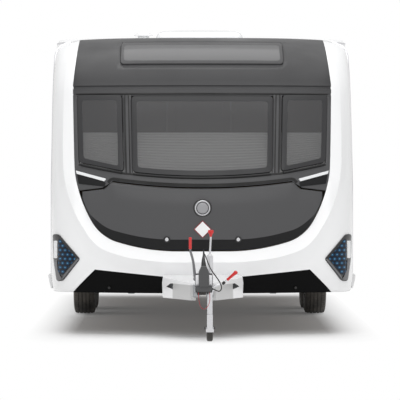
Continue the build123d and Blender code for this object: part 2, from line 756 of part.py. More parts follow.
CROSS_DEPTH = 60
CROSS_WIDTH = 40
CROSS_MEMBERS = (A_FRAME_REAR_Y + 100, -400, 2300, REAR_Y - 400)
save(
    "cross_members",
    *[
        block(-inner_face, inner_face, y - CROSS_WIDTH / 2, y + CROSS_WIDTH / 2, FLOOR_FOOT - CROSS_DEPTH, FLOOR_FOOT)
        for y in CROSS_MEMBERS
    ],
)

# ---------------------------------------------------------------- axles and wheels
TYRE_X = TRACK_OUTSIDE / 2 - TYRE_WIDTH / 2
AXLE_LEAD = 170  # the beam lies this far ahead of the wheel's centre
BEAM_RADIUS = 40
BEAM_Z = CHASSIS_FOOT - BEAM_RADIUS - FIT  # the beam hangs under the chassis members
ARM_X = TYRE_X - TYRE_WIDTH / 2 - 70
DRUM_RADIUS = 115
DRUM_X = (ARM_X + 24, TYRE_X - 5)
STUB_END = TYRE_X - TYRE_WIDTH / 2 + TYRE_WIDTH - 65
WHEEL_ROWS = {"front": AXLE_CENTRE_Y - AXLE_SPACING / 2, "rear": AXLE_CENTRE_Y + AXLE_SPACING / 2}

# the tyre's outline: columns are distance in from the outer face, and radius
TYRE_PROFILE = (
    (12, RIM_RADIUS + FIT),
    (4, RIM_RADIUS + 22),
    (0, RIM_RADIUS + 55),
    (6, TYRE_RADIUS - 24),
    (16, TYRE_RADIUS - 6),
    (32, TYRE_RADIUS),
    (TYRE_WIDTH - 32, TYRE_RADIUS),
    (TYRE_WIDTH - 16, TYRE_RADIUS - 6),
    (TYRE_WIDTH - 6, TYRE_RADIUS - 24),
    (TYRE_WIDTH, RIM_RADIUS + 55),
    (TYRE_WIDTH - 4, RIM_RADIUS + 22),
    (TYRE_WIDTH - 12, RIM_RADIUS + FIT),
)
# the rim: barrel, disc and hub face, in the same columns
RIM_PROFILE = (
    (TYRE_WIDTH - 10, RIM_RADIUS),
    (10, RIM_RADIUS),
    (10, RIM_RADIUS - RIM_LIP),
    (TYRE_WIDTH / 2 + 10 + FIT, RIM_RADIUS - 24),
    (TYRE_WIDTH / 2 + 10 + FIT, HUB_BORE),
    (TYRE_WIDTH - 60, HUB_BORE),
    (TYRE_WIDTH - 60, HUB_BORE + 30),
    (TYRE_WIDTH - 28, RIM_RADIUS - 40),
    (TYRE_WIDTH - 10, RIM_RADIUS - RIM_LIP),
)
SPOKES = 10
# the windows between the spokes: columns are radius and half angle
WINDOW_INNER = (92, 9)
WINDOW_OUTER = (146, 13)
WINDOW_CORNER = 7


def rim_windows(x0, x1, y, z):
    """Prisms that cut the windows between a rim's spokes."""
    (inner, inner_turn), (outer, outer_turn) = WINDOW_INNER, WINDOW_OUTER
    corners = [(inner, -inner_turn), (outer, -outer_turn), (outer, outer_turn), (inner, inner_turn)]
    prisms = []
    for index in range(SPOKES):
        lead = 360 * index / SPOKES
        points = [(y + r * cos(radians(lead + turn)), z + r * sin(radians(lead + turn))) for r, turn in corners]
        prisms.append(side_prism(rounded_face(points, WINDOW_CORNER), x0, x1))
    return prisms


for row, wheel_y in WHEEL_ROWS.items():
    beam = rod((-ARM_X - 20, wheel_y - AXLE_LEAD, BEAM_Z), (ARM_X + 20, wheel_y - AXLE_LEAD, BEAM_Z), BEAM_RADIUS)
    arm_face = outline([
        (wheel_y - AXLE_LEAD - 30, BEAM_Z - 34),
        (wheel_y - AXLE_LEAD - 30, BEAM_Z + 34),
        (wheel_y + 34, TYRE_RADIUS + 30),
        (wheel_y + 34, TYRE_RADIUS - 30),
    ])
    arms = both_sides(side_prism(arm_face, ARM_X, ARM_X + 24))
    drums = both_sides(rod((DRUM_X[0], wheel_y, TYRE_RADIUS), (DRUM_X[1], wheel_y, TYRE_RADIUS), DRUM_RADIUS))
    stub = rod((DRUM_X[1] - 10, wheel_y, TYRE_RADIUS), (STUB_END, wheel_y, TYRE_RADIUS), HUB_BORE - FIT)
    axle = beam
    for piece in (*arms, *drums, *both_sides(stub)):
        axle = axle + piece
    save(f"axle_{row}", axle)
    for side, name in ((1, "near"), (-1, "far")):
        inner_x = TYRE_X - TYRE_WIDTH / 2
        tyre = turned(TYRE_PROFILE, inner_x, wheel_y, TYRE_RADIUS)
        rim = turned(RIM_PROFILE, inner_x, wheel_y, TYRE_RADIUS)
        for window in rim_windows(inner_x + TYRE_WIDTH / 2, inner_x + TYRE_WIDTH, wheel_y, TYRE_RADIUS):
            rim = rim - window
        if side < 0:
            tyre = mirror(tyre, about=Plane.YZ)
            rim = mirror(rim, about=Plane.YZ)
        save(f"tyre_{row}_{name}", tyre)
        save(f"rim_{row}_{name}", rim)

# ---------------------------------------------------------------- locker bulkhead
BULKHEAD = (FRONT_Y + 540, FRONT_Y + 560)
SHELF = (1220, 1240)
bulkhead = room & (
    block(-HALF, HALF, *BULKHEAD, FLOOR_TOP + FIT, SHELF[1])
    + block(-HALF, HALF, FRONT_Y, BULKHEAD[1], *SHELF)
)
save("locker_bulkhead", bulkhead)

# ---------------------------------------------------------------- furniture seen through the windows
SEAT_TOP = 920
SEAT_FRONT = BULKHEAD[1] + FIT
SEAT_LENGTH = 1240
SEAT_DEPTH = 640
seat_x = (INNER_HALF - SEAT_DEPTH, INNER_HALF - FIT)
seat = block(*seat_x, SEAT_FRONT, SEAT_FRONT + SEAT_LENGTH, FLOOR_TOP + FIT, SEAT_TOP)
back = block(seat_x[1] - 140, seat_x[1], SEAT_FRONT, SEAT_FRONT + SEAT_LENGTH, SEAT_TOP, SEAT_TOP + 300)
KITCHEN_Y = (FRONT_Y + 2400, FRONT_Y + 3500)
kitchen = block(-INNER_HALF + FIT, -INNER_HALF + 600, *KITCHEN_Y, ARCH_TOP + BOX_SKIN + FIT, 1350)
save("sofas", *both_sides((seat + back) & room))
kitchen_foot = block(
    -INNER_HALF + BOX_DEPTH + 2 * FIT, -INNER_HALF + 600, *KITCHEN_Y, FLOOR_TOP + FIT, ARCH_TOP + BOX_SKIN + FIT
)
save("kitchen_unit", kitchen + kitchen_foot)
PARTITION_Y = FRONT_Y + 4450
partition = room & block(-HALF, HALF, PARTITION_Y, PARTITION_Y + 30, FLOOR_TOP + FIT, ROOF_TOP)
partition = partition - block(-300, 300, FRONT_Y, REAR_Y, 0, 2000)
for hole in both_sides(box_hole):
    partition = partition - (hole & block(-HALF, HALF, FRONT_Y, REAR_Y, 0, ARCH_TOP + BOX_SKIN + FIT))
save("washroom_partition", partition)

# ---------------------------------------------------------------- coupling
DRAWBAR_Z = 472
DRAWBAR_RADIUS = 25
HEAD_FOOT = 410
HEAD_REAR_Y = COUPLING_Y + 190
HOUSING_Y = (COUPLING_Y + 390, COUPLING_Y + 620)
HOUSING_Z = (425, 520)
HOUSING_HALF = 52
SOCKET_Y = COUPLING_Y + 55
SOCKET_RADIUS = 25.2
SOCKET_DEPTH = 58
head_face = outline([
    (-38, HEAD_FOOT + 38),
    (38, HEAD_FOOT + 38),
    (38, HEAD_FOOT + 140),
    (18, HEAD_FOOT + 185),
    (-18, HEAD_FOOT + 185),
    (-38, HEAD_FOOT + 140),
])
head = front_prism(head_face, COUPLING_Y, HEAD_REAR_Y)
base = front_prism(
    outline([(-52, HEAD_FOOT), (52, HEAD_FOOT), (64, HEAD_FOOT + 40), (-64, HEAD_FOOT + 40)]),
    COUPLING_Y + 8,
    HEAD_REAR_Y,
)
cheek = Pos(50, COUPLING_Y + 60, HEAD_FOOT + 78) * Rot(0, 90, 0) * Cylinder(42, 28)
coupling = head + base
for piece in both_sides(cheek):
    coupling = coupling + piece
socket = rod((0, SOCKET_Y, HEAD_FOOT - 5), (0, SOCKET_Y, HEAD_FOOT + SOCKET_DEPTH), SOCKET_RADIUS)
coupling = coupling - socket
cable_gland = rod((40, HEAD_REAR_Y - 20, HEAD_FOOT + 14), (70, HEAD_REAR_Y - 20, HEAD_FOOT + 14), 8)
save("coupling_head", coupling + cable_gland)

drawbar = rod((0, HEAD_REAR_Y, DRAWBAR_Z), (0, HOUSING_Y[0], DRAWBAR_Z), DRAWBAR_RADIUS)
housing = block(-HOUSING_HALF, HOUSING_HALF, *HOUSING_Y, *HOUSING_Z)
spine = block(-48, JOCKEY_X - JOCKEY_TUBE - 6, HOUSING_Y[1] - 60, A_FRAME_NOSE_Y, A_FRAME_FOOT + 25, FLOOR_FOOT)
save("overrun_housing", housing + drawbar + spine)

BELLOWS_RIBS = 5
BELLOWS_Y = (HOUSING_Y[0] - 100, HOUSING_Y[0])
rib_pitch = (BELLOWS_Y[1] - BELLOWS_Y[0]) / BELLOWS_RIBS
bellows_profile = [(BELLOWS_Y[0], DRAWBAR_RADIUS + FIT)]
for rib in range(BELLOWS_RIBS):
    rib_y = BELLOWS_Y[0] + rib * rib_pitch
    bellows_profile += [(rib_y, 32), (rib_y + rib_pitch / 2, 42)]
bellows_profile += [(BELLOWS_Y[1] - FIT, 32), (BELLOWS_Y[1] - FIT, DRAWBAR_RADIUS + FIT)]
bellows_plane = Plane(origin=(0, 0, DRAWBAR_Z), x_dir=(0, 1, 0), z_dir=(1, 0, 0))
bellows_face = make_face(Polyline(*bellows_profile, close=True))
save("drawbar_bellows", revolve(bellows_plane * bellows_face, axis=Axis((0, 0, DRAWBAR_Z), (0, 1, 0))))

# ---------------------------------------------------------------- A-frame cover
COVER_FOOT = 310
COVER_SKIN = 4
COVER_HALF = 314
COVER_NOSE_HALF = 95
COVER_NOSE_Y = A_FRAME_NOSE_Y + 22
COVER_STRAIGHT = 150


def cover_outline(inset):
    """Plan of the cover, drawn in by inset."""
    return outline([
        (COVER_HALF - inset, FRONT_Y + 100),
        (COVER_HALF - inset, FRONT_Y - COVER_STRAIGHT + inset / 2),
        (COVER_NOSE_HALF - inset, COVER_NOSE_Y + inset),
        (inset - COVER_NOSE_HALF, COVER_NOSE_Y + inset),
        (inset - COVER_HALF, FRONT_Y - COVER_STRAIGHT + inset / 2),
        (inset - COVER_HALF, FRONT_Y + 100),
    ])


def cover_side(drop):
    """Side view under the cover's sloping top, lowered by drop."""
    return outline([
        (COVER_NOSE_Y - 10, 0),
        (COVER_NOSE_Y - 10, FLOOR_FOOT + 10 - drop),
        (FRONT_Y + 100, FLOOR_FOOT + 55 - drop),
        (FRONT_Y + 100, 0),
    ])


cover_solid = plan_prism(cover_outline(0), COVER_FOOT, FLOOR_FOOT + 80) & side_prism(cover_side(0), -HALF, HALF)
cover_space = plan_prism(cover_outline(COVER_SKIN), 0, FLOOR_FOOT + 80) & side_prism(
    cover_side(COVER_SKIN), -HALF, HALF
)
cover = cover_solid - cover_space - hull(-FIT)
NOSE_OPENING = 84  # half width of the gap in the cover's nose that the A-frame passes
nose_hole = block(-NOSE_OPENING, NOSE_OPENING, COVER_NOSE_Y - 50, COVER_NOSE_Y + 50, 0, FLOOR_FOOT + 1)
# hand holes in the cover's slanting sides, drawn in X and Z on the near side
HAND_HOLE = [(283, 397), (247, 426), (229, 426), (231, 381)]
hand_hole = front_prism(outline(HAND_HOLE), FRONT_Y - 450, FRONT_Y - COVER_STRAIGHT - 20)
cover = cover - nose_hole
for hole in both_sides(hand_hole):
    cover = cover - hole
save("a_frame_cover", cover)

# ---------------------------------------------------------------- handbrake lever
LEVER_Y = HOUSING_Y[1] - 25
GRIP_X = 98
GRIP_FOOT = 704
lever_path = [
    (-HOUSING_HALF - 9, LEVER_Y, 480),
    (-70, LEVER_Y, 560),
    (-80, LEVER_Y, 630),
    (-GRIP_X, LEVER_Y, 690),
    (-GRIP_X, LEVER_Y, GRIP_FOOT),
]
lever = rod(lever_path[0], lever_path[1], 8)
for start, end in zip(lever_path[1:], lever_path[2:]):
    lever = lever + rod(start, end, 8) + Pos(*start) * Sphere(8)
pivot = rod((-HOUSING_HALF, LEVER_Y, 480), (-HOUSING_HALF - 18, LEVER_Y, 480), 16)
save("handbrake_lever", lever + pivot)
handbrake_grip = rod((-GRIP_X, LEVER_Y, GRIP_FOOT), (-GRIP_X, LEVER_Y, GRIP_FOOT + 90), 12)

# ---------------------------------------------------------------- jockey wheel
tube = rod((JOCKEY_X, JOCKEY_Y, JOCKEY_TUBE_FOOT), (JOCKEY_X, JOCKEY_Y, JOCKEY_TUBE_TOP), JOCKEY_TUBE)
tube = tube - rod((JOCKEY_X, JOCKEY_Y, 0), (JOCKEY_X, JOCKEY_Y, JOCKEY_TUBE_TOP - 8), JOCKEY_STEM + FIT)
CLAMP_Z = (385, 440)
clamp = block(
    JOCKEY_X - JOCKEY_TUBE - 6, JOCKEY_X + JOCKEY_TUBE + 8, JOCKEY_Y - 14, JOCKEY_Y + 14, *CLAMP_Z
) - rod((JOCKEY_X, JOCKEY_Y, 0), (JOCKEY_X, JOCKEY_Y, WAIST), JOCKEY_TUBE - 1)
handle_foot = Vector(JOCKEY_X + 104, JOCKEY_Y, 446)
handle_tip = Vector(JOCKEY_X + 205, JOCKEY_Y, 533)
handle = rod((JOCKEY_X + JOCKEY_TUBE + 4, JOCKEY_Y, 415), handle_foot, 6) + Pos(*handle_foot) * Sphere(9)
save("jockey_outer_tube", tube + clamp + handle)
along_handle = (handle_tip - handle_foot).normalized()
clamp_grip = rod(handle_foot + along_handle * (9 + FIT), handle_tip, 11)

CRANK_X = JOCKEY_X + 8
CRANK_TOP = 805
CRANK_RADIUS = 7
crank = rod((JOCKEY_X, JOCKEY_Y, JOCKEY_TUBE_TOP), (JOCKEY_X, JOCKEY_Y, JOCKEY_TUBE_TOP + 14), 12)
crank = crank + rod((JOCKEY_X, JOCKEY_Y, JOCKEY_TUBE_TOP + 8), (CRANK_X, JOCKEY_Y, CRANK_TOP - 6), CRANK_RADIUS)
crank = crank + rod((CRANK_X, JOCKEY_Y, CRANK_TOP - 8), (CRANK_X, JOCKEY_Y, CRANK_TOP), CRANK_RADIUS + 1)
save("jockey_crank", crank)
crank_grip = Pos(CRANK_X, JOCKEY_Y, CRANK_TOP + 26) * Cone(12, 18, 52)
save("hand_grips", handbrake_grip, clamp_grip, crank_grip)

FORK_TOP = 210
STEM_TOP = JOCKEY_TUBE_TOP - JOCKEY_LIFT - 12
save(
    "jockey_stem",
    rod((JOCKEY_X, JOCKEY_Y, FORK_TOP + FIT), (JOCKEY_X, JOCKEY_Y, STEM_TOP), JOCKEY_STEM),
)
FORK_PLATE = 10
ARM_GAP = 3.5
ARM_THICKNESS = 3.5
fork_half = JOCKEY_WIDTH / 2 + ARM_GAP
fork_front = JOCKEY_Y - 30
axle_y = JOCKEY_Y + JOCKEY_TRAIL
fork = block(JOCKEY_X - 22, JOCKEY_X + 22, fork_front, JOCKEY_Y + 22, FORK_TOP - FORK_PLATE, FORK_TOP)
fork = fork + block(JOCKEY_X - 22, JOCKEY_X + 22, fork_front, fork_front + 8, 92, FORK_TOP)
fork = fork + block(
    JOCKEY_X - fork_half - ARM_THICKNESS, JOCKEY_X + fork_half + ARM_THICKNESS, fork_front, fork_front + 8, 75, 100
)
for x in (JOCKEY_X - fork_half - ARM_THICKNESS, JOCKEY_X + fork_half):
    fork = fork + block(x, x + ARM_THICKNESS, fork_front, axle_y + 16, 84, 116)
JOCKEY_PIN = 8
fork = fork + rod(
    (JOCKEY_X - fork_half, axle_y, JOCKEY_RADIUS), (JOCKEY_X + fork_half, axle_y, JOCKEY_RADIUS), JOCKEY_PIN
)
save("jockey_fork", fork)
# columns: distance across the wheel, and radius
JOCKEY_PROFILE = (
    (0, JOCKEY_PIN + FIT),
    (0, 40),
    (10, 60),
    (0, 74),
    (0, JOCKEY_RADIUS - 8),
    (8, JOCKEY_RADIUS),
    (JOCKEY_WIDTH - 8, JOCKEY_RADIUS),
    (JOCKEY_WIDTH, JOCKEY_RADIUS - 8),
    (JOCKEY_WIDTH, 74),
    (JOCKEY_WIDTH - 10, 60),
    (JOCKEY_WIDTH, 40),
    (JOCKEY_WIDTH, JOCKEY_PIN + FIT),
)
save("jockey_wheel", turned(JOCKEY_PROFILE, JOCKEY_X - JOCKEY_WIDTH / 2, axle_y, JOCKEY_RADIUS))

# ---------------------------------------------------------------- corner steadies
STEADY_X = 640
STEADY_Z = 388
STEADY_REACH = 400
STEADY_WIDTH = 50
STEADY_DEPTH = 36
STEADY_PIN = 9
STEADY_ROWS = {"front": MEMBER_FRONT_Y + 100, "rear": REAR_Y - 550}
brackets = []
for row, y in STEADY_ROWS.items():
    leg = block(
        STEADY_X - 22, STEADY_X + STEADY_REACH, y - STEADY_WIDTH / 2, y + STEADY_WIDTH / 2,
        STEADY_Z - STEADY_DEPTH / 2, STEADY_Z + STEADY_DEPTH / 2,
    )
    leg = leg - block(
        STEADY_X - 30, STEADY_X + STEADY_REACH - 90, y - STEADY_WIDTH / 2 + 5, y + STEADY_WIDTH / 2 - 5,
        STEADY_Z - STEADY_DEPTH, STEADY_Z + STEADY_DEPTH / 2 - 5,
    )
    leg = leg - rod((STEADY_X, y - 60, STEADY_Z), (STEADY_X, y + 60, STEADY_Z), STEADY_PIN + FIT)
    save(f"steady_{row}_near", leg)
    save(f"steady_{row}_far", mirror(leg, about=Plane.YZ))
    pin = rod((STEADY_X, y - 42, STEADY_Z), (STEADY_X, y + 42, STEADY_Z), STEADY_PIN)
    bracket = pin
    for y0 in (y - 42, y + 34):
        bracket = bracket + block(MEMBER_X + MEMBER_FLANGE / 2, STEADY_X + 16, y0, y0 + 8, STEADY_Z - 24, FLOOR_FOOT)
    bracket = bracket + block(
        MEMBER_X + MEMBER_FLANGE / 2, STEADY_X + 16, y - 42, y + 42, FLOOR_FOOT - 8, FLOOR_FOOT
    )
    brackets += both_sides(bracket)
save("steady_brackets", *brackets)


# ---------------------------------------------------------------- cords
def corded(name, route, diameter):
    """Tube along straight runs joined by arcs as large as the runs allow."""
    points = [Vector(*point) for point in route]
    runs = [(b - a).length for a, b in zip(points, points[1:])]
    radii = []
    for index in range(1, len(points) - 1):
        into = points[index] - points[index - 1]
        out = points[index + 1] - points[index]
        turn = radians(into.get_angle(out))
        radii.append(0.45 * min(runs[index - 1], runs[index]) / tan(turn / 2))
    print(name, "radii", [round(radius) for radius in radii])
    path = FilletPolyline(*points, radius=radii)
    section = Plane(origin=points[0], z_dir=points[1] - points[0]) * Circle(diameter / 2)
    tube = sweep(section, path=path)
    print(name, "length", round(path.length), "volume ratio", round(tube.volume / (section.area * path.length), 4))
    save(name, tube)


CABLE = 8.5
cable_route = (
    (-14, -3400, 520),
    (-14, -3402, 560),
    (-12, -3425, 610),
    (-4, -3455, 658),
    (4, -3500, 682),
    (14, -3545, 662),
    (32, -3580, 612),
    (54, -3604, 562),
    (82, -3622, 525),
    (110, -3634, 488),
    (130, -3644, 450),
    (132, -3656, 422),
    (117, -3668, 405),
    (95, -3678, 410),
    (70, -3680, 424),
)
corded("towing_cable", cable_route, CABLE)

BREAKAWAY = 4
breakaway_route = (
    (44, -3690, 410),
    (44, -3689, 378),
    (46, -3674, 346),
    (40, -3645, 312),
    (24, -3608, 282),
    (2, -3565, 266),
    (-18, -3520, 276),
    (-30, -3478, 302),
    (-36, -3446, 340),
    (-38, -3428, 382),
    (-38, -3426, 425),
)
corded("breakaway_cable", breakaway_route, BREAKAWAY)
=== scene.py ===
# %% [markdown]
# # A twin-axle travel caravan
# The frame comes in finished: chassis, walls, doors, wheels and joints, each a named solid in its place.
# This notebook gives it its looks. Every piece is made in metres, in the frame's own coordinates:
# X runs across (plus is the side with the entrance door), Y runs from the tow coupling to the rear, Z is up.

import bmesh
import bpy
import numpy as np
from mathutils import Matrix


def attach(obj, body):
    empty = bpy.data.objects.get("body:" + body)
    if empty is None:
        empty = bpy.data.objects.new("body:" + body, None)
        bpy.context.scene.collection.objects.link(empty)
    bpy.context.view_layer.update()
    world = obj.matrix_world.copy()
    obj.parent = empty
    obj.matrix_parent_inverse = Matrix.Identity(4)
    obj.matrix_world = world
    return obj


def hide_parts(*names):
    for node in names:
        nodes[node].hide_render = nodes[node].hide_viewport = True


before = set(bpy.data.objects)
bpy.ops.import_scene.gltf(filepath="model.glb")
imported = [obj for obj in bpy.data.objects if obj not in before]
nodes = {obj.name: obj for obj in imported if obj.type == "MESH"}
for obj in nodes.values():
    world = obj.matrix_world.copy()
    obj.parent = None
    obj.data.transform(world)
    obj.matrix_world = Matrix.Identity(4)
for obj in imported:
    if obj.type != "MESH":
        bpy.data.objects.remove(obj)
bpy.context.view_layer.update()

# %% [markdown]
# ## The camera
# A caravan's front is drawn best from far away with a long lens, so that its sides stay parallel.
# The camera stands at a person's eye height, a little to the left, and looks almost straight along Y.

# %% Camera
CAMERA_PLACE = (-0.166, -24.53, 1.396)
CAMERA_LENS = 254.9  # mm, on a sensor 36 mm wide
CAMERA_TURN = np.radians((89.13, 0.0, -0.38))


def new_object(name, data):
    """Object with that data, linked to the scene."""
    piece = bpy.data.objects.new(name, data)
    bpy.context.scene.collection.objects.link(piece)
    return piece


camera_data = bpy.data.cameras.new("camera")
camera_data.lens = CAMERA_LENS
camera_data.clip_end = 200.0
camera = new_object("camera", camera_data)
camera.location = CAMERA_PLACE
camera.rotation_euler = CAMERA_TURN
bpy.context.scene.camera = camera
print("camera lens", camera_data.lens, "mm at", CAMERA_PLACE)

# %% [markdown]
# ## Colours and finishes
# Every finish is a Principled BSDF with a few nodes in front of it. Effects that many finishes share are
# node groups with named inputs: a fine ripple as on gel-coat and paint, a brushed grain, the crystal
# flakes of hot-dip zinc, a woven cloth and a pebbled rubber. The helper below places a group in a
# material and sets its inputs by name.


# %% Helpers for materials
def srgb(red, green, blue):
    """Linear colour, with alpha 1, from display values: the inverse of the sRGB curve."""
    display = np.array([red, green, blue], float)
    linear = np.where(display <= 0.04045, display / 12.92, ((display + 0.055) / 1.055) ** 2.4)
    return (*linear.tolist(), 1.0)


def effect_group(name, inputs, outputs):
    """Node group that takes Coordinates and further inputs {name: default}; outputs are {name: kind}."""
    group = bpy.data.node_groups.new(name, "ShaderNodeTree")
    for label, value in {"Coordinates": (0.0, 0.0, 0.0), **inputs}.items():
        kind = "Vector" if isinstance(value, tuple) else "Float"
        socket = group.interface.new_socket(name=label, in_out="INPUT", socket_type=f"NodeSocket{kind}")
        socket.default_value = value
    for label, kind in outputs.items():
        group.interface.new_socket(name=label, in_out="OUTPUT", socket_type=f"NodeSocket{kind}")
    return group, group.nodes.new("NodeGroupInput"), group.nodes.new("NodeGroupOutput")


def add_node(tree, kind, links=(), **values):
    """Node of one kind; values set its inputs by name (underscores for spaces), links are (input, socket)."""
    node = tree.nodes.new(kind)
    for label, value in values.items():
        title = label.replace("_", " ")
        if title in node.inputs:
            node.inputs[title].default_value = value
        else:
            setattr(node, label, value)
    for label, socket in links:
        tree.links.new(socket, node.inputs[label])
    return node


def coordinates(tree):
    """Object coordinates, which stay with the piece."""
    return tree.nodes.new("ShaderNodeTexCoord").outputs["Object"]


def blend_colours(tree, factor, first, second):
    """Colour between two, by a factor socket; first and second are colours or sockets."""
    node = tree.nodes.new("ShaderNodeMix")
    node.data_type = "RGBA"
    tree.links.new(factor, node.inputs[0])
    for socket, value in ((node.inputs[6], first), (node.inputs[7], second)):
        if isinstance(value, tuple):
            socket.default_value = value
        else:
            tree.links.new(value, socket)
    return node.outputs[2]


def spread(tree, value, low, high, to_low, to_high):
    """Value carried from one range to another and held at its ends."""
    node = tree.nodes.new("ShaderNodeMapRange")
    tree.links.new(value, node.inputs["Value"])
    for label, number in (("From Min", low), ("From Max", high), ("To Min", to_low), ("To Max", to_high)):
        node.inputs[label].default_value = number
    return node.outputs["Result"]


def maths(tree, operation, first, second=None):
    """One Math node; first and second are sockets or numbers."""
    node = tree.nodes.new("ShaderNodeMath")
    node.operation = operation
    for index, value in enumerate((first, second)):
        if isinstance(value, (int, float)):
            node.inputs[index].default_value = value
        elif value is not None:
            tree.links.new(value, node.inputs[index])
    return node.outputs[0]


def from_group(entry, **inputs):
    """Links (input, socket) out of a group's entry: its Coordinates to Vector, others as input=label."""
    links = {"Vector": "Coordinates", **inputs}
    return [(name, entry.outputs[label]) for name, label in links.items()]


def group_bump(group, entry, result, height):
    """Bump of a height socket, as deep as the group's Depth input, given out as the group's Normal."""
    links = [("Height", height), ("Distance", entry.outputs["Depth"])]
    bump = add_node(group, "ShaderNodeBump", links, Strength=1.0)
    group.links.new(bump.outputs["Normal"], result.inputs["Normal"])


# %% Shared effect: the ripple of gel-coat, paint and moulded plastic
RIPPLE, ripple_in, ripple_out = effect_group("ripple", {"Scale": 60.0, "Depth": 0.0004}, {"Normal": "Vector"})
ripple_noise = add_node(RIPPLE, "ShaderNodeTexNoise", from_group(ripple_in, Scale="Scale"), Detail=2.0)
group_bump(RIPPLE, ripple_in, ripple_out, ripple_noise.outputs[0])

# %% Shared effect: road dust, thickest near the ground and broken up by noise
DUST, dust_in, dust_out = effect_group("road_dust", {"Bottom": 0.0, "Top": 0.6, "Amount": 0.3}, {"Mask": "Float"})
dust_parts = add_node(DUST, "ShaderNodeSeparateXYZ", from_group(dust_in))
dust_fall = add_node(DUST, "ShaderNodeMapRange", [("Value", dust_parts.outputs["Z"])])
DUST.links.new(dust_in.outputs["Top"], dust_fall.inputs["From Min"])
DUST.links.new(dust_in.outputs["Bottom"], dust_fall.inputs["From Max"])
dust_noise = add_node(DUST, "ShaderNodeTexNoise", from_group(dust_in), Scale=7.0, Detail=6.0)
dust_patch = spread(DUST, dust_noise.outputs[0], 0.35, 0.7, 0.2, 1.0)
dust_product = maths(DUST, "MULTIPLY", dust_fall.outputs["Result"], dust_patch)
DUST.links.new(maths(DUST, "MULTIPLY", dust_product, dust_in.outputs["Amount"]), dust_out.inputs["Mask"])

# %% Shared effect: the fine drawn lines of brushed or turned metal
BRUSHED, brushed_in, brushed_out = effect_group(
    "brushed", {"Stretch": (400.0, 400.0, 8.0), "Depth": 0.00015}, {"Grain": "Float", "Normal": "Vector"}
)
brushed_map = add_node(BRUSHED, "ShaderNodeMapping", from_group(brushed_in, Scale="Stretch"))
brushed_noise = add_node(BRUSHED, "ShaderNodeTexNoise", [("Vector", brushed_map.outputs[0])], Scale=1.0, Detail=3.0)
BRUSHED.links.new(brushed_noise.outputs[0], brushed_out.inputs["Grain"])
group_bump(BRUSHED, brushed_in, brushed_out, brushed_noise.outputs[0])

# %% Shared effect: the crystal flakes of hot-dip zinc
SPANGLE, spangle_in, spangle_out = effect_group("zinc_spangle", {"Scale": 55.0}, {"Flake": "Float"})
spangle_cells = add_node(SPANGLE, "ShaderNodeTexVoronoi", from_group(spangle_in, Scale="Scale"))
spangle_grey = add_node(SPANGLE, "ShaderNodeRGBToBW", [("Color", spangle_cells.outputs["Color"])])
SPANGLE.links.new(spangle_grey.outputs[0], spangle_out.inputs["Flake"])

# %% Shared effect: cloth woven over and under, on the piece's own coordinates
WEAVE, weave_in, weave_out = effect_group(
    "weave", {"Threads": 300.0, "Depth": 0.0006}, {"Thread": "Float", "Normal": "Vector"}
)
weave_waves = []
for direction in ("X", "Z"):
    links = from_group(weave_in, Scale="Threads")
    wave = add_node(WEAVE, "ShaderNodeTexWave", links, bands_direction=direction, Distortion=0.6, Detail=1.0)
    weave_waves.append(wave.outputs["Fac"])
weave_cross = maths(WEAVE, "MULTIPLY", *weave_waves)
WEAVE.links.new(weave_cross, weave_out.inputs["Thread"])
group_bump(WEAVE, weave_in, weave_out, weave_cross)
print("effect groups:", [group.name for group in bpy.data.node_groups])

# %% [markdown]
# Each finish below starts from one base: colour, roughness, metal or not, and a clear coat. A number that
# is the same all over goes straight on the shader's socket. Only what changes over the surface is linked.


# %% The base of every finish
def finish(name, colour, roughness, **sockets):
    """Material with a Principled BSDF; sockets are its other inputs by name, underscores for spaces."""
    material = bpy.data.materials.new(name)
    material.use_nodes = True
    tree = material.node_tree
    shader = tree.nodes["Principled BSDF"]
    shader.inputs["Base Color"].default_value = colour
    shader.inputs["Roughness"].default_value = roughness
    for label, value in sockets.items():
        shader.inputs[label.replace("_", " ")].default_value = value
    return material, tree, shader


def place_group(tree, group, **values):
    """One effect group in a material, on its object coordinates, with its inputs set by name."""
    node = tree.nodes.new("ShaderNodeGroup")
    node.node_tree = group
    tree.links.new(coordinates(tree), node.inputs["Coordinates"])
    for label, value in values.items():
        node.inputs[label].default_value = value
    return node


def rippled(name, colour, roughness, scale, depth, dust=0.0, patchy=0.22, **sockets):
    """Moulded or painted finish: a fine ripple, a roughness that varies in patches, and dust low down."""
    material, tree, shader = finish(name, colour, roughness, **sockets)
    ripple = place_group(tree, RIPPLE, Scale=scale, Depth=depth)
    tree.links.new(ripple.outputs["Normal"], shader.inputs["Normal"])
    cloud = add_node(tree, "ShaderNodeTexNoise", [("Vector", coordinates(tree))], Scale=2.5, Detail=4.0)
    vary = spread(tree, cloud.outputs[0], 0.3, 0.7, roughness * (1 - patchy), roughness * (1 + patchy))
    tree.links.new(vary, shader.inputs["Roughness"])
    if dust:
        mask = place_group(tree, DUST, Bottom=0.2, Top=0.7, Amount=dust)
        tint = blend_colours(tree, mask.outputs["Mask"], colour, srgb(0.55, 0.52, 0.48))
        tree.links.new(tint, shader.inputs["Base Color"])
    return material


def brushed_metal(name, colour, roughness, stretch, depth=0.00012, **sockets):
    """Bare metal with drawn lines along the short axis of stretch."""
    material, tree, shader = finish(name, colour, roughness, Metallic=1.0, **sockets)
    grain = place_group(tree, BRUSHED, Stretch=stretch, Depth=depth)
    tree.links.new(grain.outputs["Normal"], shader.inputs["Normal"])
    vary = spread(tree, grain.outputs["Grain"], 0.3, 0.7, roughness * 0.75, roughness * 1.3)
    tree.links.new(vary, shader.inputs["Roughness"])
    return material


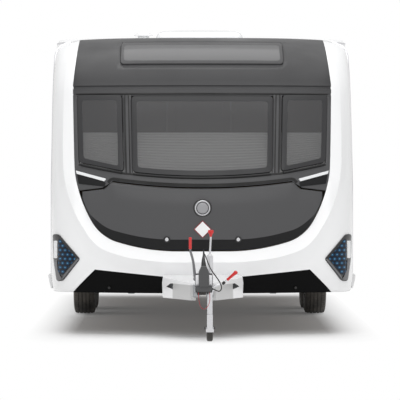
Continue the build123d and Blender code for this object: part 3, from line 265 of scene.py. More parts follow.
# %% Body finishes
WHITE = (1.0, 1.0, 1.0, 1.0)
LID_GREY = srgb(0.325, 0.325, 0.33)
CLEAR_COAT = {"patchy": 0.1, "Coat_Roughness": 0.06}
DULL_COAT = {"Coat_Roughness": 0.2, "Specular_IOR_Level": 0.18}
white_gelcoat = rippled(
    "white_gelcoat", srgb(0.965, 0.967, 0.97), 0.22, 35.0, 0.0002, dust=0.12, Coat_Weight=0.5, **CLEAR_COAT
)
white_sheet = rippled(
    "white_sheet", srgb(0.955, 0.957, 0.96), 0.3, 60.0, 0.00002, dust=0.12, patchy=0.06, Coat_Weight=0.3
)
dark_gelcoat = rippled("dark_gelcoat", LID_GREY, 0.42, 30.0, 0.0003, Coat_Weight=0.06, **DULL_COAT)
# near black: painted shade on the locker lid's lip, and the real colour of the upper lamp housings
lip_shade_and_housing = rippled("lip_shade_and_housing", srgb(0.1, 0.1, 0.105), 0.45, 30.0, 0.0003, Coat_Weight=0.05, **DULL_COAT)
black_moulding = rippled("black_moulding", srgb(0.07, 0.07, 0.075), 0.55, 350.0, 0.0009, dust=0.05)
black_gloss = rippled("black_gloss", srgb(0.05, 0.05, 0.055), 0.18, 60.0, 0.0002, Coat_Weight=0.5)
gasket_rubber = rippled("gasket_rubber", srgb(0.06, 0.06, 0.06), 0.7, 500.0, 0.0006)
frost_acrylic = rippled("frost_acrylic", srgb(0.88, 0.89, 0.9), 0.35, 45.0, 0.0004, Transmission_Weight=0.25)
red_moulding = rippled("red_moulding", srgb(0.82, 0.13, 0.13), 0.32, 300.0, 0.0005, Coat_Weight=0.3)
# the blinds glow faintly: painted light standing in for the room's own light on them
blind_glow_finish = rippled(
    "blind_glow_finish", srgb(0.85, 0.85, 0.84), 0.6, 90.0, 0.0003, Emission_Color=WHITE, Emission_Strength=0.11
)
# the A-frame cover's white; further down, a painted shade is mixed in below its crease
cover_gelcoat_shaded = rippled(
    "cover_gelcoat_shaded", srgb(0.95, 0.95, 0.955), 0.25, 35.0, 0.0002, Coat_Weight=0.4, **CLEAR_COAT
)


# %% Tints that change over a piece
def by_place(material, axis, low, high, before, after):
    """Colour that goes from one (or from a socket) to another between two places along an axis."""
    tree = material.node_tree
    parts = add_node(tree, "ShaderNodeSeparateXYZ", [("Vector", coordinates(tree))])
    return blend_colours(tree, spread(tree, parts.outputs[axis], low, high, 0.0, 1.0), before, after)


# painted shade: the cover of the A-frame is coloured darker under its crease, and its ends, past the hand holes, are
# painted back to white where the light catches them
cover_white = srgb(0.96, 0.96, 0.965)
cover_painted_shade = by_place(cover_gelcoat_shaded, "Z", 0.424, 0.428, srgb(0.765, 0.765, 0.765), cover_white)
for edge in (-0.232, 0.232):
    cover_painted_shade = by_place(cover_gelcoat_shaded, "X", edge * 0.98, edge * 1.02, cover_painted_shade, cover_white)
# the panel over the windows is tinted darker than the lid
dark_tint = by_place(dark_gelcoat, "Z", 1.8, 2.0, LID_GREY, srgb(0.21, 0.21, 0.215))
for material, tint in ((cover_gelcoat_shaded, cover_painted_shade), (dark_gelcoat, dark_tint)):
    material.node_tree.links.new(tint, material.node_tree.nodes["Principled BSDF"].inputs["Base Color"])
print("body finishes made")

# %% [markdown]
# The window panes are acrylic, tinted grey. A see-through finish by alpha keeps the room behind them in
# view at any size, and the clear coat gives the sheen. The dark printed border of each pane is opaque.


# %% Glazing finishes
def glazing(name, colour, roughness, scale, depth, **sockets):
    """See-through acrylic with a slow ripple; Alpha, among the sockets, is how much of it is seen."""
    material, tree, shader = finish(name, colour, roughness, **sockets)
    ripple = place_group(tree, RIPPLE, Scale=scale, Depth=depth)
    tree.links.new(ripple.outputs["Normal"], shader.inputs["Normal"])
    return material


tinted_pane = glazing(
    "tinted_pane", srgb(0.35, 0.35, 0.355), 0.4, 3.0, 0.0002,
    Alpha=0.5, Coat_Weight=0.35, Coat_Roughness=0.12, Specular_IOR_Level=0.2,
)
sky_tint = glazing(
    "sky_tint", srgb(0.33, 0.33, 0.335), 0.3, 3.0, 0.0002,
    Alpha=0.84, Coat_Weight=0.25, Coat_Roughness=0.05, Specular_IOR_Level=0.25,
)
pane_print = rippled(
    "pane_print", srgb(0.22, 0.22, 0.225), 0.45, 4.0, 0.0004,
    Coat_Weight=0.1, Coat_Roughness=0.12, Specular_IOR_Level=0.2,
)

# %% Metal finishes
zinc_bright = brushed_metal("zinc_bright", srgb(0.84, 0.84, 0.85), 0.3, (700.0, 700.0, 20.0))
chrome_trim = brushed_metal("chrome_trim", srgb(0.9, 0.9, 0.91), 0.16, (60.0, 60.0, 60.0), depth=0.00005)
wheel_silver = rippled(
    "wheel_silver", srgb(0.72, 0.73, 0.74), 0.3, 260.0, 0.0002, dust=0.2, Metallic=0.85, Coat_Weight=0.4
)
black_paint = rippled("black_paint", srgb(0.1, 0.1, 0.105), 0.4, 160.0, 0.0006, dust=0.25)
cast_grey = rippled("cast_grey", srgb(0.3, 0.3, 0.305), 0.5, 220.0, 0.0012, Metallic=0.2)

galvanised, zinc_tree, zinc_shader = finish("galvanised", srgb(0.66, 0.67, 0.68), 0.42, Metallic=0.9)
flakes = place_group(zinc_tree, SPANGLE, Scale=60.0)
flake_tint = blend_colours(zinc_tree, flakes.outputs["Flake"], srgb(0.58, 0.59, 0.6), srgb(0.76, 0.77, 0.78))
zinc_tree.links.new(flake_tint, zinc_shader.inputs["Base Color"])
zinc_rough = spread(zinc_tree, flakes.outputs["Flake"], 0.0, 1.0, 0.32, 0.55)
zinc_tree.links.new(zinc_rough, zinc_shader.inputs["Roughness"])

# %% Rubber, cable and plastic finishes
tyre_rubber = rippled("tyre_rubber", srgb(0.105, 0.105, 0.105), 0.72, 420.0, 0.0008, dust=0.35)
cable_sheath = rippled("cable_sheath", srgb(0.1, 0.1, 0.1), 0.45, 700.0, 0.0003)
red_sheath = rippled("red_sheath", srgb(0.7, 0.1, 0.16), 0.4, 700.0, 0.0003)
roller_rubber = rippled("roller_rubber", srgb(0.13, 0.13, 0.13), 0.65, 300.0, 0.0008, dust=0.2)


# %% Wood and cloth of the room inside
def grained(name, colour, roughness, stretch, dark, light, **noise):
    """Wood: noise stretched along the grain blends two browns."""
    material, tree, shader = finish(name, colour, roughness)
    mapping = add_node(tree, "ShaderNodeMapping", [("Vector", coordinates(tree))], Scale=stretch)
    figure = add_node(tree, "ShaderNodeTexNoise", [("Vector", mapping.outputs[0])], Scale=1.5, Detail=8.0, **noise)
    tree.links.new(blend_colours(tree, figure.outputs[0], dark, light), shader.inputs["Base Color"])
    return material


timber_finish = grained(
    "timber_finish", srgb(0.52, 0.43, 0.34), 0.45, (3.0, 3.0, 45.0),
    srgb(0.4, 0.31, 0.23), srgb(0.66, 0.56, 0.45), Distortion=1.5,
)
floor_board = grained(
    "plank_board", srgb(0.4, 0.34, 0.28), 0.5, (30.0, 2.0, 2.0), srgb(0.3, 0.25, 0.2), srgb(0.5, 0.44, 0.37)
)


def woven(name, dark, light, threads):
    """Upholstery cloth: crossing threads in two close shades, with sheen."""
    material, tree, shader = finish(name, light, 0.85, Sheen_Weight=0.3)
    cloth = place_group(tree, WEAVE, Threads=threads)
    tree.links.new(cloth.outputs["Normal"], shader.inputs["Normal"])
    tree.links.new(blend_colours(tree, cloth.outputs["Thread"], dark, light), shader.inputs["Base Color"])
    return material


seat_cloth = woven("seat_cloth", srgb(0.44, 0.42, 0.4), srgb(0.62, 0.6, 0.57), 220.0)
scatter_cloth = woven("scatter_cloth", srgb(0.3, 0.33, 0.38), srgb(0.45, 0.48, 0.54), 260.0)

# finishes with the slots that they usually fill
BLACK_PARTS = (black_moulding, "black_plastic")
ZINC_PARTS = (zinc_bright, "zinc_steel")
CHROME_PARTS = (chrome_trim, "zinc_steel")
WHITE_PARTS = (white_gelcoat, "white_moulding")
SEALS = (gasket_rubber, "black_rubber")
WOOD_PARTS = (timber_finish, "furniture_wood")
RED_GRIPS = (red_moulding, "red_plastic")
GALVANISED = (galvanised, "galvanised_steel")
print("finishes:", len(bpy.data.materials))

# %% [markdown]
# ## Lights, floor and sky
# A studio car is lit by one very large soft box overhead and a weaker one in front. The sky and the
# floor are white for the camera and for reflections, while the sky lights the object more weakly.

# %% Sky
world = bpy.data.worlds.new("studio_sky")
bpy.context.scene.world = world
world.use_nodes = True
sky = world.node_tree
sky.nodes.clear()
seen = sky.nodes.new("ShaderNodeLightPath")
seen_or_mirrored = add_node(sky, "ShaderNodeMath", operation="MAXIMUM")
sky.links.new(seen.outputs["Is Camera Ray"], seen_or_mirrored.inputs[0])
sky.links.new(seen.outputs["Is Transmission Ray"], seen_or_mirrored.inputs[1])
SKY_LIGHT = 0.4
SKY_MIRRORED = 0.75
mirrored_strength = spread(sky, seen.outputs["Is Glossy Ray"], 0.0, 1.0, SKY_LIGHT, SKY_MIRRORED)
sky_strength = add_node(sky, "ShaderNodeMix", data_type="FLOAT")
sky.links.new(seen_or_mirrored.outputs[0], sky_strength.inputs[0])
sky.links.new(mirrored_strength, sky_strength.inputs[2])
sky_strength.inputs[3].default_value = 1.0
sky_colour = add_node(sky, "ShaderNodeBackground", [("Strength", sky_strength.outputs[0])], Color=WHITE)
add_node(sky, "ShaderNodeOutputWorld", [("Surface", sky_colour.outputs[0])])
bpy.context.scene.view_settings.view_transform = "Standard"


# %% Lamps
def soft_box(name, place, aim, width, depth, power):
    """Rectangular area lamp at one point, turned to face another."""
    data = bpy.data.lights.new(name, "AREA")
    data.shape = "RECTANGLE"
    data.size, data.size_y, data.energy = width, depth, power
    lamp = new_object(name, data)
    lamp.location = place
    direction = np.array(aim, float) - np.array(place, float)
    flat = np.hypot(direction[0], direction[1])
    lamp.rotation_euler = (np.arctan2(flat, -direction[2]), 0.0, np.arctan2(direction[0], -direction[1]) + np.pi)


soft_box("overhead_box", (0.0, -1.0, 8.5), (0.0, 0.0, 0.0), 9.0, 13.0, 580.0)
soft_box("front_box", (0.0, -13.0, 7.5), (0.0, -2.0, 1.5), 12.0, 5.0, 430.0)

# %% Floor
FLOOR_REACH = 60.0
SHADOW_MIDDLE = (0.0, 0.65, 0.0)
SHADOW_HALF = (1.0, 3.2, 1.0)
SHADOW_STRETCH = (2.4, 1.0, 1.0)  # the shade ends sooner at the sides than at the ends
FLOOR_FADE = (0.0, 0.95)  # from shaded floor to pure white, in metres out from the plan of the body
FLOOR_GLOW = 0.085  # white mixed into the shade
floor_mesh = bpy.data.meshes.new("studio_floor")
corners = np.array([(-1, -1, 0), (1, -1, 0), (1, 1, 0), (-1, 1, 0)]) * FLOOR_REACH
floor_mesh.from_pydata(corners.tolist(), [], [(0, 1, 2, 3)])
studio_floor = new_object("studio_floor", floor_mesh)
floor_white = bpy.data.materials.new("floor_white")
floor_white.use_nodes = True
paper = floor_white.node_tree
paper.nodes.clear()


def paper_step(operation, first, second=(0.0, 0.0, 0.0)):
    """Vector Math node of the floor's finish, on a socket and a fixed vector."""
    node = add_node(paper, "ShaderNodeVectorMath", [(0, first)], operation=operation)
    node.inputs[1].default_value = second
    return node.outputs["Value" if operation == "LENGTH" else "Vector"]


paper_size = paper_step("ABSOLUTE", paper_step("SUBTRACT", coordinates(paper), SHADOW_MIDDLE))
paper_past = paper_step("MAXIMUM", paper_step("SUBTRACT", paper_size, SHADOW_HALF))
paper_reach = paper_step("LENGTH", paper_step("MULTIPLY", paper_past, SHADOW_STRETCH))
paper_fade = spread(paper, paper_reach, *FLOOR_FADE, FLOOR_GLOW, 1.0)
paper_diffuse = add_node(paper, "ShaderNodeBsdfDiffuse", Color=srgb(0.97, 0.97, 0.97))
paper_glow = add_node(paper, "ShaderNodeEmission", Color=WHITE)
paper_mix = add_node(paper, "ShaderNodeMixShader", [("Fac", paper_fade)])
paper.links.new(paper_diffuse.outputs[0], paper_mix.inputs[1])
paper.links.new(paper_glow.outputs[0], paper_mix.inputs[2])
add_node(paper, "ShaderNodeOutputMaterial", [("Surface", paper_mix.outputs[0])])
floor_mesh.materials.append(floor_white)

# %% [markdown]
# ## Two cables at the coupling
# The black electric cable leaves the overrun housing and loops over the coupling lever to the near side of
# the coupling head, and the thin red breakaway cable hangs from the head back to the drawbar. Each is one
# smooth NURBS spline through the air, with a round bevel.


# %% Cables
def cable(name, route, diameter, material):
    """Free cable: a NURBS spline of order 3 with the route's points as its control points."""
    curve = bpy.data.curves.new(name, "CURVE")
    curve.dimensions = "3D"
    spline = curve.splines.new("NURBS")
    spline.points.add(len(route) - 1)
    spline.points.foreach_set("co", np.column_stack([np.array(route) / 1000.0, np.ones(len(route))]).ravel())
    spline.order_u = 3
    spline.use_endpoint_u = True
    curve.resolution_u = 12
    curve.bevel_depth = diameter / 2
    curve.bevel_resolution = 4
    curve.use_fill_caps = True
    curve.materials.append(material)
    piece = new_object(name, curve)
    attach(piece, "root")
    return piece


# route points in millimetres, each cable from its exit to its far end
TOWING_ROUTE = [
    (-14, -3400, 520), (-14, -3402, 560), (-12, -3425, 610), (-4, -3455, 658), (4, -3500, 682),
    (14, -3545, 662), (32, -3580, 612), (54, -3604, 562), (82, -3622, 525), (110, -3634, 488),
    (130, -3644, 450), (132, -3656, 422), (117, -3668, 405), (95, -3678, 410), (70, -3680, 424),
]
BREAKAWAY_ROUTE = [
    (44, -3690, 410), (44, -3689, 378), (46, -3674, 346), (40, -3645, 312), (24, -3608, 282), (2, -3565, 266),
    (-18, -3520, 276), (-30, -3478, 302), (-36, -3446, 340), (-38, -3428, 382), (-38, -3426, 425),
]
towing_line = cable("towing_line", TOWING_ROUTE, 0.0085, cable_sheath)
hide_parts("towing_cable")
breakaway_line = cable("breakaway_line", BREAKAWAY_ROUTE, 0.004, red_sheath)
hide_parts("breakaway_cable")
print("cables:", towing_line.name, breakaway_line.name)

# %% [markdown]
# ## Surfaces from numbers
# Most pieces below are grids: rows and columns of points worked out as whole arrays, with a quad between
# each four neighbours. Doubled points at seams and poles are merged, so every closed shape is watertight.


# %% Grids into meshes
def grid_faces(rows, columns, start=0, wrap=False, keep=None):
    """Quads between neighbours of a grid; wrap joins the last column to the first, keep drops some quads."""
    index = start + np.arange(rows * columns).reshape(rows, columns)
    if wrap:
        index = np.hstack([index, index[:, :1]])
    quads = np.stack([index[:-1, :-1], index[:-1, 1:], index[1:, 1:], index[1:, :-1]], axis=-1)
    return quads.reshape(-1, 4) if keep is None else quads[keep]


def build(name, grids, material, slot, body="root", smooth=35.0):
    """Piece from one or more grids; each is an array rows x columns x 3, or (array, wrap, keep)."""
    points, faces, start = [], [], 0
    for grid in grids:
        array, wrap, keep = grid if isinstance(grid, tuple) else (grid, False, None)
        array = np.asarray(array, float)
        points.append(array.reshape(-1, 3))
        faces.append(grid_faces(array.shape[0], array.shape[1], start, wrap, keep))
        start += array.shape[0] * array.shape[1]
    mesh = bpy.data.meshes.new(name)
    mesh.from_pydata(np.vstack(points).tolist(), [], np.vstack(faces).tolist())
    work = bmesh.new()
    work.from_mesh(mesh)
    bmesh.ops.remove_doubles(work, verts=work.verts, dist=2e-5)
    bmesh.ops.dissolve_degenerate(work, edges=work.edges, dist=1e-6)
    bmesh.ops.recalc_face_normals(work, faces=work.faces)
    work.to_mesh(mesh)
    work.free()
    mesh.shade_smooth()
    mesh.set_sharp_from_angle(angle=np.radians(smooth))
    mesh.materials.append(material)
    piece = new_object(name, mesh)
    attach(piece, body)
    return piece


def ring_tube(centres, across, upward, section):
    """Section (columns across, up) carried along a path: centre + across * s0 + upward * s1, as a grid."""
    centres, across, upward, section = (np.asarray(v, float) for v in (centres, across, upward, section))
    return centres[:, None] + across[:, None] * section[None, :, :1] + upward[:, None] * section[None, :, 1:]


def circle(radius, count=16):
    """Closed round section."""
    turn = np.linspace(0.0, 2.0 * np.pi, count, endpoint=False)
    return np.column_stack([radius * np.cos(turn), radius * np.sin(turn)])


def mm(points):
    """Points given in millimetres, as an array in metres."""
    return np.array(points, float) / 1000


def unit(vectors):
    """Each vector divided by its length."""
    return vectors / np.maximum(np.linalg.norm(vectors, axis=-1, keepdims=True), 1e-12)


def common(*values):
    """The values as float arrays of one common shape."""
    return np.broadcast_arrays(*(np.asarray(v, float) for v in values))


def frames_along(path, side):
    """Two directions square to an open path at each of its points; side is kept off the tangent."""
    tangent = unit(np.gradient(path, axis=0))
    first = unit(np.cross(tangent, np.broadcast_to(np.asarray(side, float), path.shape)))
    return first, unit(np.cross(first, tangent))


def closed(grid):
    """A grid whose last column joins its first."""
    return (grid, True, None)


def capped(grid):
    """A tube of rings with a point added at each end's middle, so that both ends close."""
    first = np.broadcast_to(grid[0].mean(axis=0), grid[0].shape)
    last = np.broadcast_to(grid[-1].mean(axis=0), grid[-1].shape)
    return closed(np.concatenate([first[None], grid, last[None]]))


def strip(path, across, upward, section):
    """Closed bar of one section along a path; across and upward are one direction, or one per point."""
    across, upward = (np.broadcast_to(np.asarray(v, float), np.shape(path)) for v in (across, upward))
    return capped(ring_tube(path, across, upward, section))


def pipe(path, radius, side=(0.0, 0.0, 1.0), count=16):
    """Closed round bar along a path; radius is a number or one per point."""
    path = np.asarray(path, float)
    first, second = frames_along(path, side)
    radius = np.broadcast_to(np.asarray(radius, float), len(path))[:, None]
    return strip(path, first * radius, second * radius, circle(1.0, count))


def turned(profile, centre, axis, count=48):
    """Profile (distance along the axis, radius) turned about an axis through centre, as a closed grid."""
    profile = np.asarray(profile, float)
    axis = unit(np.asarray(axis, float))
    helper = np.array([0.0, 0.0, 1.0]) if abs(axis[2]) < 0.9 else np.array([1.0, 0.0, 0.0])
    first = unit(np.cross(axis, helper))
    second = np.cross(axis, first)
    turn = np.linspace(0.0, 2.0 * np.pi, count, endpoint=False)
    ring = np.cos(turn)[:, None] * first + np.sin(turn)[:, None] * second
    grid = np.asarray(centre, float) + profile[:, :1, None] * axis + profile[:, 1:, None] * ring[None]
    return closed(grid)


def rounded_outline(corners, radius, step=0.02):
    """Closed polyline with each corner turned by a quadratic arc of about that radius, evenly filled in."""
    corners = np.asarray(corners, float)
    before, after = np.roll(corners, 1, axis=0), np.roll(corners, -1, axis=0)
    reach_in = np.minimum(radius, 0.45 * np.linalg.norm(before - corners, axis=1))[:, None]
    reach_out = np.minimum(radius, 0.45 * np.linalg.norm(after - corners, axis=1))[:, None]
    start = corners + unit(before - corners) * reach_in
    end = corners + unit(after - corners) * reach_out
    t = np.linspace(0.0, 1.0, 7)[None, :, None]
    arcs = (1 - t) ** 2 * start[:, None] + 2 * t * (1 - t) * corners[:, None] + t**2 * end[:, None]
    return resample(np.vstack([arcs.reshape(-1, corners.shape[1]), arcs[0, :1]]), step)[:-1]


def resample(points, step):
    """Polyline with extra points so that no run is longer than step; its own points stay."""
    points = np.asarray(points, float)
    runs = np.linalg.norm(np.diff(points, axis=0), axis=1)
    counts = np.maximum(np.ceil(runs / step).astype(int), 1)
    at = np.concatenate([[0.0], np.cumsum(runs)])
    spaced = [np.linspace(a, b, n, endpoint=False) for a, b, n in zip(at[:-1], at[1:], counts)]
    wanted = np.concatenate([*spaced, at[-1:]])
    return np.column_stack([np.interp(wanted, at, points[:, k]) for k in range(points.shape[1])])


# %% [markdown]
# ## The form of the front
# The nose is one curved skin. In plan it is a shallow bow that turns into a tangent arc at each corner;
# in side view it stands upright to the waist and then rakes back over the roof. A place on it is two
# numbers: the arc length round the plan from the middle, and the height. Panes, lamps and trim are laid
# on it by X and height, as a sign painter lays out a stencil from the front.

# %% The skin of the nose
FRONT_Y = -2.5
HALF_WIDTH = 1.2
BOW_RADIUS = 2.6
CORNER_RUN = 0.25
SECTION_HEIGHT = np.array([0.33, 0.45, 0.58, 0.9, 1.15, 1.3, 1.89, 1.97, 2.15, 2.275, 2.335, 2.37, 2.4, 2.44])
SECTION_SETBACK = np.array([0.04, 0.012, 0.0, 0.01, 0.025, 0.07, 0.3, 0.352, 0.56, 0.8, 1.0, 1.2, 1.85, 3.1])
SECTION_NARROWER = np.array([0.015, 0, 0, 0, 0, 0, 0, 0, 0.002, 0.005, 0.01, 0.015, 0.032, 0.08])


def monotone(x, known_x, known_y):
    """Smooth curve through known points that never overshoots: cubic Hermite with harmonic-mean slopes."""
    step = np.diff(known_x)
    slope = np.diff(known_y) / step
    product = slope[:-1] * slope[1:]
    mean = np.where(product > 0, 2 * product / np.where(product > 0, slope[:-1] + slope[1:], 1.0), 0.0)
    tangent = np.concatenate([slope[:1], mean, slope[-1:]])
    at = np.clip(np.searchsorted(known_x, x, side="right") - 1, 0, len(step) - 1)
    h = step[at]
    t = np.clip((x - known_x[at]) / h, 0.0, 1.0)
    return (
        (2 * t**3 - 3 * t**2 + 1) * known_y[at] + (t**3 - 2 * t**2 + t) * h * tangent[at]
        + (3 * t**2 - 2 * t**3) * known_y[at + 1] + (t**3 - t**2) * h * tangent[at + 1]
    )


def plan_numbers(height):
    """At each height: half width, front Y, half width of the bow, turn at its end, corner radius."""
    half = HALF_WIDTH - monotone(height, SECTION_HEIGHT, SECTION_NARROWER)
    front = FRONT_Y + monotone(height, SECTION_HEIGHT, SECTION_SETBACK)
    bow_half = half - CORNER_RUN
    turn = np.arcsin(bow_half / BOW_RADIUS)
    return half, front, bow_half, turn, CORNER_RUN / (1 - np.sin(turn))


def skin_point(arc, height):
    """Point of the skin at an arc length round the plan (signed, from the middle) and a height."""
    arc, height = common(arc, height)
    half, front, bow_half, turn, corner = plan_numbers(height)
    reach = np.abs(arc)
    bow_length = BOW_RADIUS * turn
    bow_angle = np.minimum(reach, bow_length) / BOW_RADIUS
    corner_angle = turn + np.clip(reach - bow_length, 0.0, corner * (np.pi / 2 - turn)) / corner
    straight = np.maximum(reach - bow_length - corner * (np.pi / 2 - turn), 0.0)
    centre_x = (BOW_RADIUS - corner) * np.sin(turn)
    centre_y = front + BOW_RADIUS - (BOW_RADIUS - corner) * np.cos(turn)
    on_bow = reach <= bow_length
    x = np.where(on_bow, BOW_RADIUS * np.sin(bow_angle), centre_x + corner * np.sin(corner_angle))
    y = np.where(on_bow, front + BOW_RADIUS * (1 - np.cos(bow_angle)), centre_y - corner * np.cos(corner_angle))
    return np.stack([np.sign(arc) * x, y + straight, height], axis=-1)


def arc_at(x, height):
    """Arc length round the plan at which the skin has that X, seen from the front."""
    x, height = common(x, height)
    half, _, bow_half, turn, corner = plan_numbers(height)
    reach = np.abs(x)
    centre_x = (BOW_RADIUS - corner) * np.sin(turn)
    on_bow = BOW_RADIUS * np.arcsin(np.minimum(reach, bow_half) / BOW_RADIUS)
    lean = np.arcsin(np.clip((reach - centre_x) / corner, -1.0, 1.0))
    on_corner = BOW_RADIUS * turn + corner * (lean - turn)
    return np.sign(x) * np.where(reach <= bow_half, on_bow, on_corner)


def side_arc(y, height):
    """Arc length at which the plan, on its corner arc or the straight side behind it, reaches that Y."""
    _, front, _, turn, corner = plan_numbers(np.asarray(height, float))
    corner_end = front + BOW_RADIUS - (BOW_RADIUS - corner) * np.cos(turn)
    past = y - corner_end
    lean = np.arccos(np.clip(-past / corner, 0.0, np.cos(turn)))
    return BOW_RADIUS * turn + corner * (lean - turn) + np.maximum(past, 0.0)


def skin_normal(arc, height):
    """Outward unit normal: the cross product of the slopes along the arc and up."""
    nudge = 0.002
    along = skin_point(arc + nudge, height) - skin_point(arc - nudge, height)
    low = np.maximum(height - nudge, SECTION_HEIGHT[0])
    high = np.minimum(height + nudge, SECTION_HEIGHT[-1])
    return unit(np.cross(along, skin_point(arc, high) - skin_point(arc, low)))


def on_skin(arc, height, proud=0.0):
    """Point standing proud of the skin, along its normal."""
    arc, height, proud = common(arc, height, proud)
    return skin_point(arc, height) + skin_normal(arc, height) * proud[..., None]


def on_front(x, height, proud=0.0):
    """Point of the skin that has that X and height before it is set proud."""
    return on_skin(arc_at(x, height), height, proud)


print("skin: nose at", skin_point(0.0, 0.58).round(3), "corner joint at", side_arc(-1.88, 1.0).round(3))

# %% [markdown]
# ## The edge of the dark front
# One line, drawn in X and height, parts the dark front from the white surround: flat at the bottom, a wide
# sweep up each side, and then almost straight to the roof. Both neighbours are built from this same line.

# %% The edge line
ARC_POINTS = 24


def arc_through(first, second, third):
    """Points on the circle through three points in a plane, from the first to the third."""
    (ax, ay), (bx, by), (cx, cy) = first, second, third
    double = 2 * (ax * (by - cy) + bx * (cy - ay) + cx * (ay - by))
    sum_a, sum_b, sum_c = ax**2 + ay**2, bx**2 + by**2, cx**2 + cy**2
    centre = np.array([
        (sum_a * (by - cy) + sum_b * (cy - ay) + sum_c * (ay - by)) / double,
        (sum_a * (cx - bx) + sum_b * (ax - cx) + sum_c * (bx - ax)) / double,
    ])
    from_centre = np.array([first, second, third]) - centre
    angles = np.unwrap(np.arctan2(from_centre[:, 1], from_centre[:, 0]))
    radius = np.hypot(*from_centre[0])
    turn = np.linspace(angles[0], angles[2], ARC_POINTS)
    return centre + radius * np.column_stack([np.cos(turn), np.sin(turn)])


ROOF_END_HEIGHT = 2.3755  # where the skin meets the roof panel, in the middle
ROOF_END_Y = -1.185


def roof_end(x):
    """Height at which the skin, at one X, has run back to the edge of the roof panel."""
    heights = np.linspace(2.25, ROOF_END_HEIGHT, 60)
    return float(np.interp(ROOF_END_Y, on_front(x, heights)[:, 1], heights))


dark_edge = np.vstack([
    [(0.0, 0.661), (0.2, 0.661)],
    arc_through((0.2, 0.661), (0.4216, 0.6768), (0.64, 0.724)),
    arc_through((0.64, 0.724), (0.79, 0.798), (0.87, 0.895)),
    arc_through((0.87, 0.895), (0.965, 1.11), (1.01, 1.33)),
    [(1.03, 1.97), (1.002, 2.32), (1.0, roof_end(1.0))],
])
for _ in range(3):  # rounds the joints between the arcs
    inner = (dark_edge[:-2] + 2 * dark_edge[1:-1] + dark_edge[2:]) / 4
    inner = np.where(dark_edge[1:-1, 1:] > 1.9, dark_edge[1:-1], inner)
    dark_edge = np.vstack([dark_edge[:1], inner, dark_edge[-1:]])
edge_length = np.concatenate([[0.0], np.cumsum(np.linalg.norm(np.diff(dark_edge, axis=0), axis=1))])


def edge_at(distance):
    """Point (X, height) of the dark front's edge at a distance along it from the bottom centre."""
    return np.stack([np.interp(distance, edge_length, dark_edge[:, k]) for k in (0, 1)], axis=-1)


def edge_x(height):
    """Half width of the dark front at a height."""
    return np.interp(height, dark_edge[:, 1], dark_edge[:, 0])


print("edge line:", len(dark_edge), "points,", edge_length[-1].round(3), "m on each side")

# %% [markdown]
# ## The white surround
# On the real caravan this is one moulding that frames the dark front. Its section steps forward from the dark
# panel up a bright bevel to a crease, then falls away to the corner. The grid below runs along the edge
# line one way and across the moulding the other. Columns crowd together at the crease so that it stays crisp.

# %% White surround
# columns: where along the edge line, then X or Y and height of the matching place on the outer border
CORNER_BOTTOM = 1.1
SURROUND_STATIONS = [
    ("x", 0.0, 0.0, 0.465), ("x", 0.315, 0.315, 0.465), ("x", 0.72, 0.843, 0.515), ("x", 0.87, 1.018, 0.333),
    ("x", 0.97, CORNER_BOTTOM, 0.33), ("y", 1.1, -1.88, 0.33), ("y", 1.42, -1.88, 1.15),
    ("y", 2.02, -1.56, 1.89), ("y", 2.27, -1.35, 2.15), ("y", 2.42, -1.244, 2.3),
    ("y", edge_length[-1], -1.195, 2.345),
]
BEVEL_WIDTH = 0.094
BEVEL_RISE = 0.03
FALL_WIDTH = 0.12
SHELL_THICKNESS = 0.02


def thicken(piece, thickness):
    """Give a one-sided skin its wall, inward from its face."""
    wall = piece.modifiers.new("wall", "SOLIDIFY")
    wall.thickness = thickness
    wall.offset = -1.0


stations = np.array([
    (along, arc_at(across, height) if kind == "x" else side_arc(across, height), height)
    for kind, along, across, height in SURROUND_STATIONS
])
along = np.unique(np.concatenate([np.linspace(0.0, edge_length[-1], 150), stations[:, 0]]))
inner_line = edge_at(along)
inner_place = np.stack([arc_at(inner_line[:, 0], inner_line[:, 1]), inner_line[:, 1]], axis=-1)
outer_place = np.stack([np.interp(along, stations[:, 0], stations[:, k]) for k in (1, 2)], axis=-1)
reach_across = np.linalg.norm(outer_place - inner_place, axis=1)

bevel_part = [0.0, 0.003, 0.02, 0.045, 0.07, 0.088, BEVEL_WIDTH]
fixed = np.array([*bevel_part, 0.1, 0.115, 0.14, 0.17, 0.195, BEVEL_WIDTH + FALL_WIDTH])
squeeze = np.minimum(1.0, (reach_across - 0.004) / fixed[-1])
near_part = fixed[None, :] * squeeze[:, None]
beyond = np.linspace(0.0, 1.0, 15)[1:]
far_part = near_part[:, -1:] + beyond[None, :] * (reach_across[:, None] - near_part[:, -1:])
distance = np.hstack([near_part, far_part])
share = distance / reach_across[:, None]
place = inner_place[:, None] * (1 - share[..., None]) + outer_place[:, None] * share[..., None]

fade = np.clip((2.15 - inner_line[:, 1]) / 0.8, 0.0, 1.0)  # the bevel dies out towards the roof
fade = (fade**2 * (3 - 2 * fade))[:, None]
scaled = distance / np.maximum(squeeze[:, None], 1e-6)
rising = np.clip(scaled / BEVEL_WIDTH, 0.0, 1.0)
falling = np.clip((scaled - BEVEL_WIDTH) / FALL_WIDTH, 0.0, 1.0)
proud = BEVEL_RISE * fade * np.where(scaled < BEVEL_WIDTH, rising, (1 - falling) ** 1.6)
right_half = on_skin(place[..., 0], place[..., 1], proud)
surround_grid = np.concatenate([right_half[::-1] * (-1, 1, 1), right_half[1:]])

white_surround = build(
    "white_surround", [surround_grid], *WHITE_PARTS, smooth=28.0
)
thicken(white_surround, SHELL_THICKNESS)
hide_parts("front_shell")
print("white surround:", len(white_surround.data.polygons), "quads")

# %% [markdown]
# ## The dark window panel
# The panel carries three panes, the sky-view glass above them and the long lamps at its lower corners. Its
# grid lines follow the panes' edges, so the openings are simply quads left out. Rows are curves in X and
# height; columns lean with the pillars between the panes.

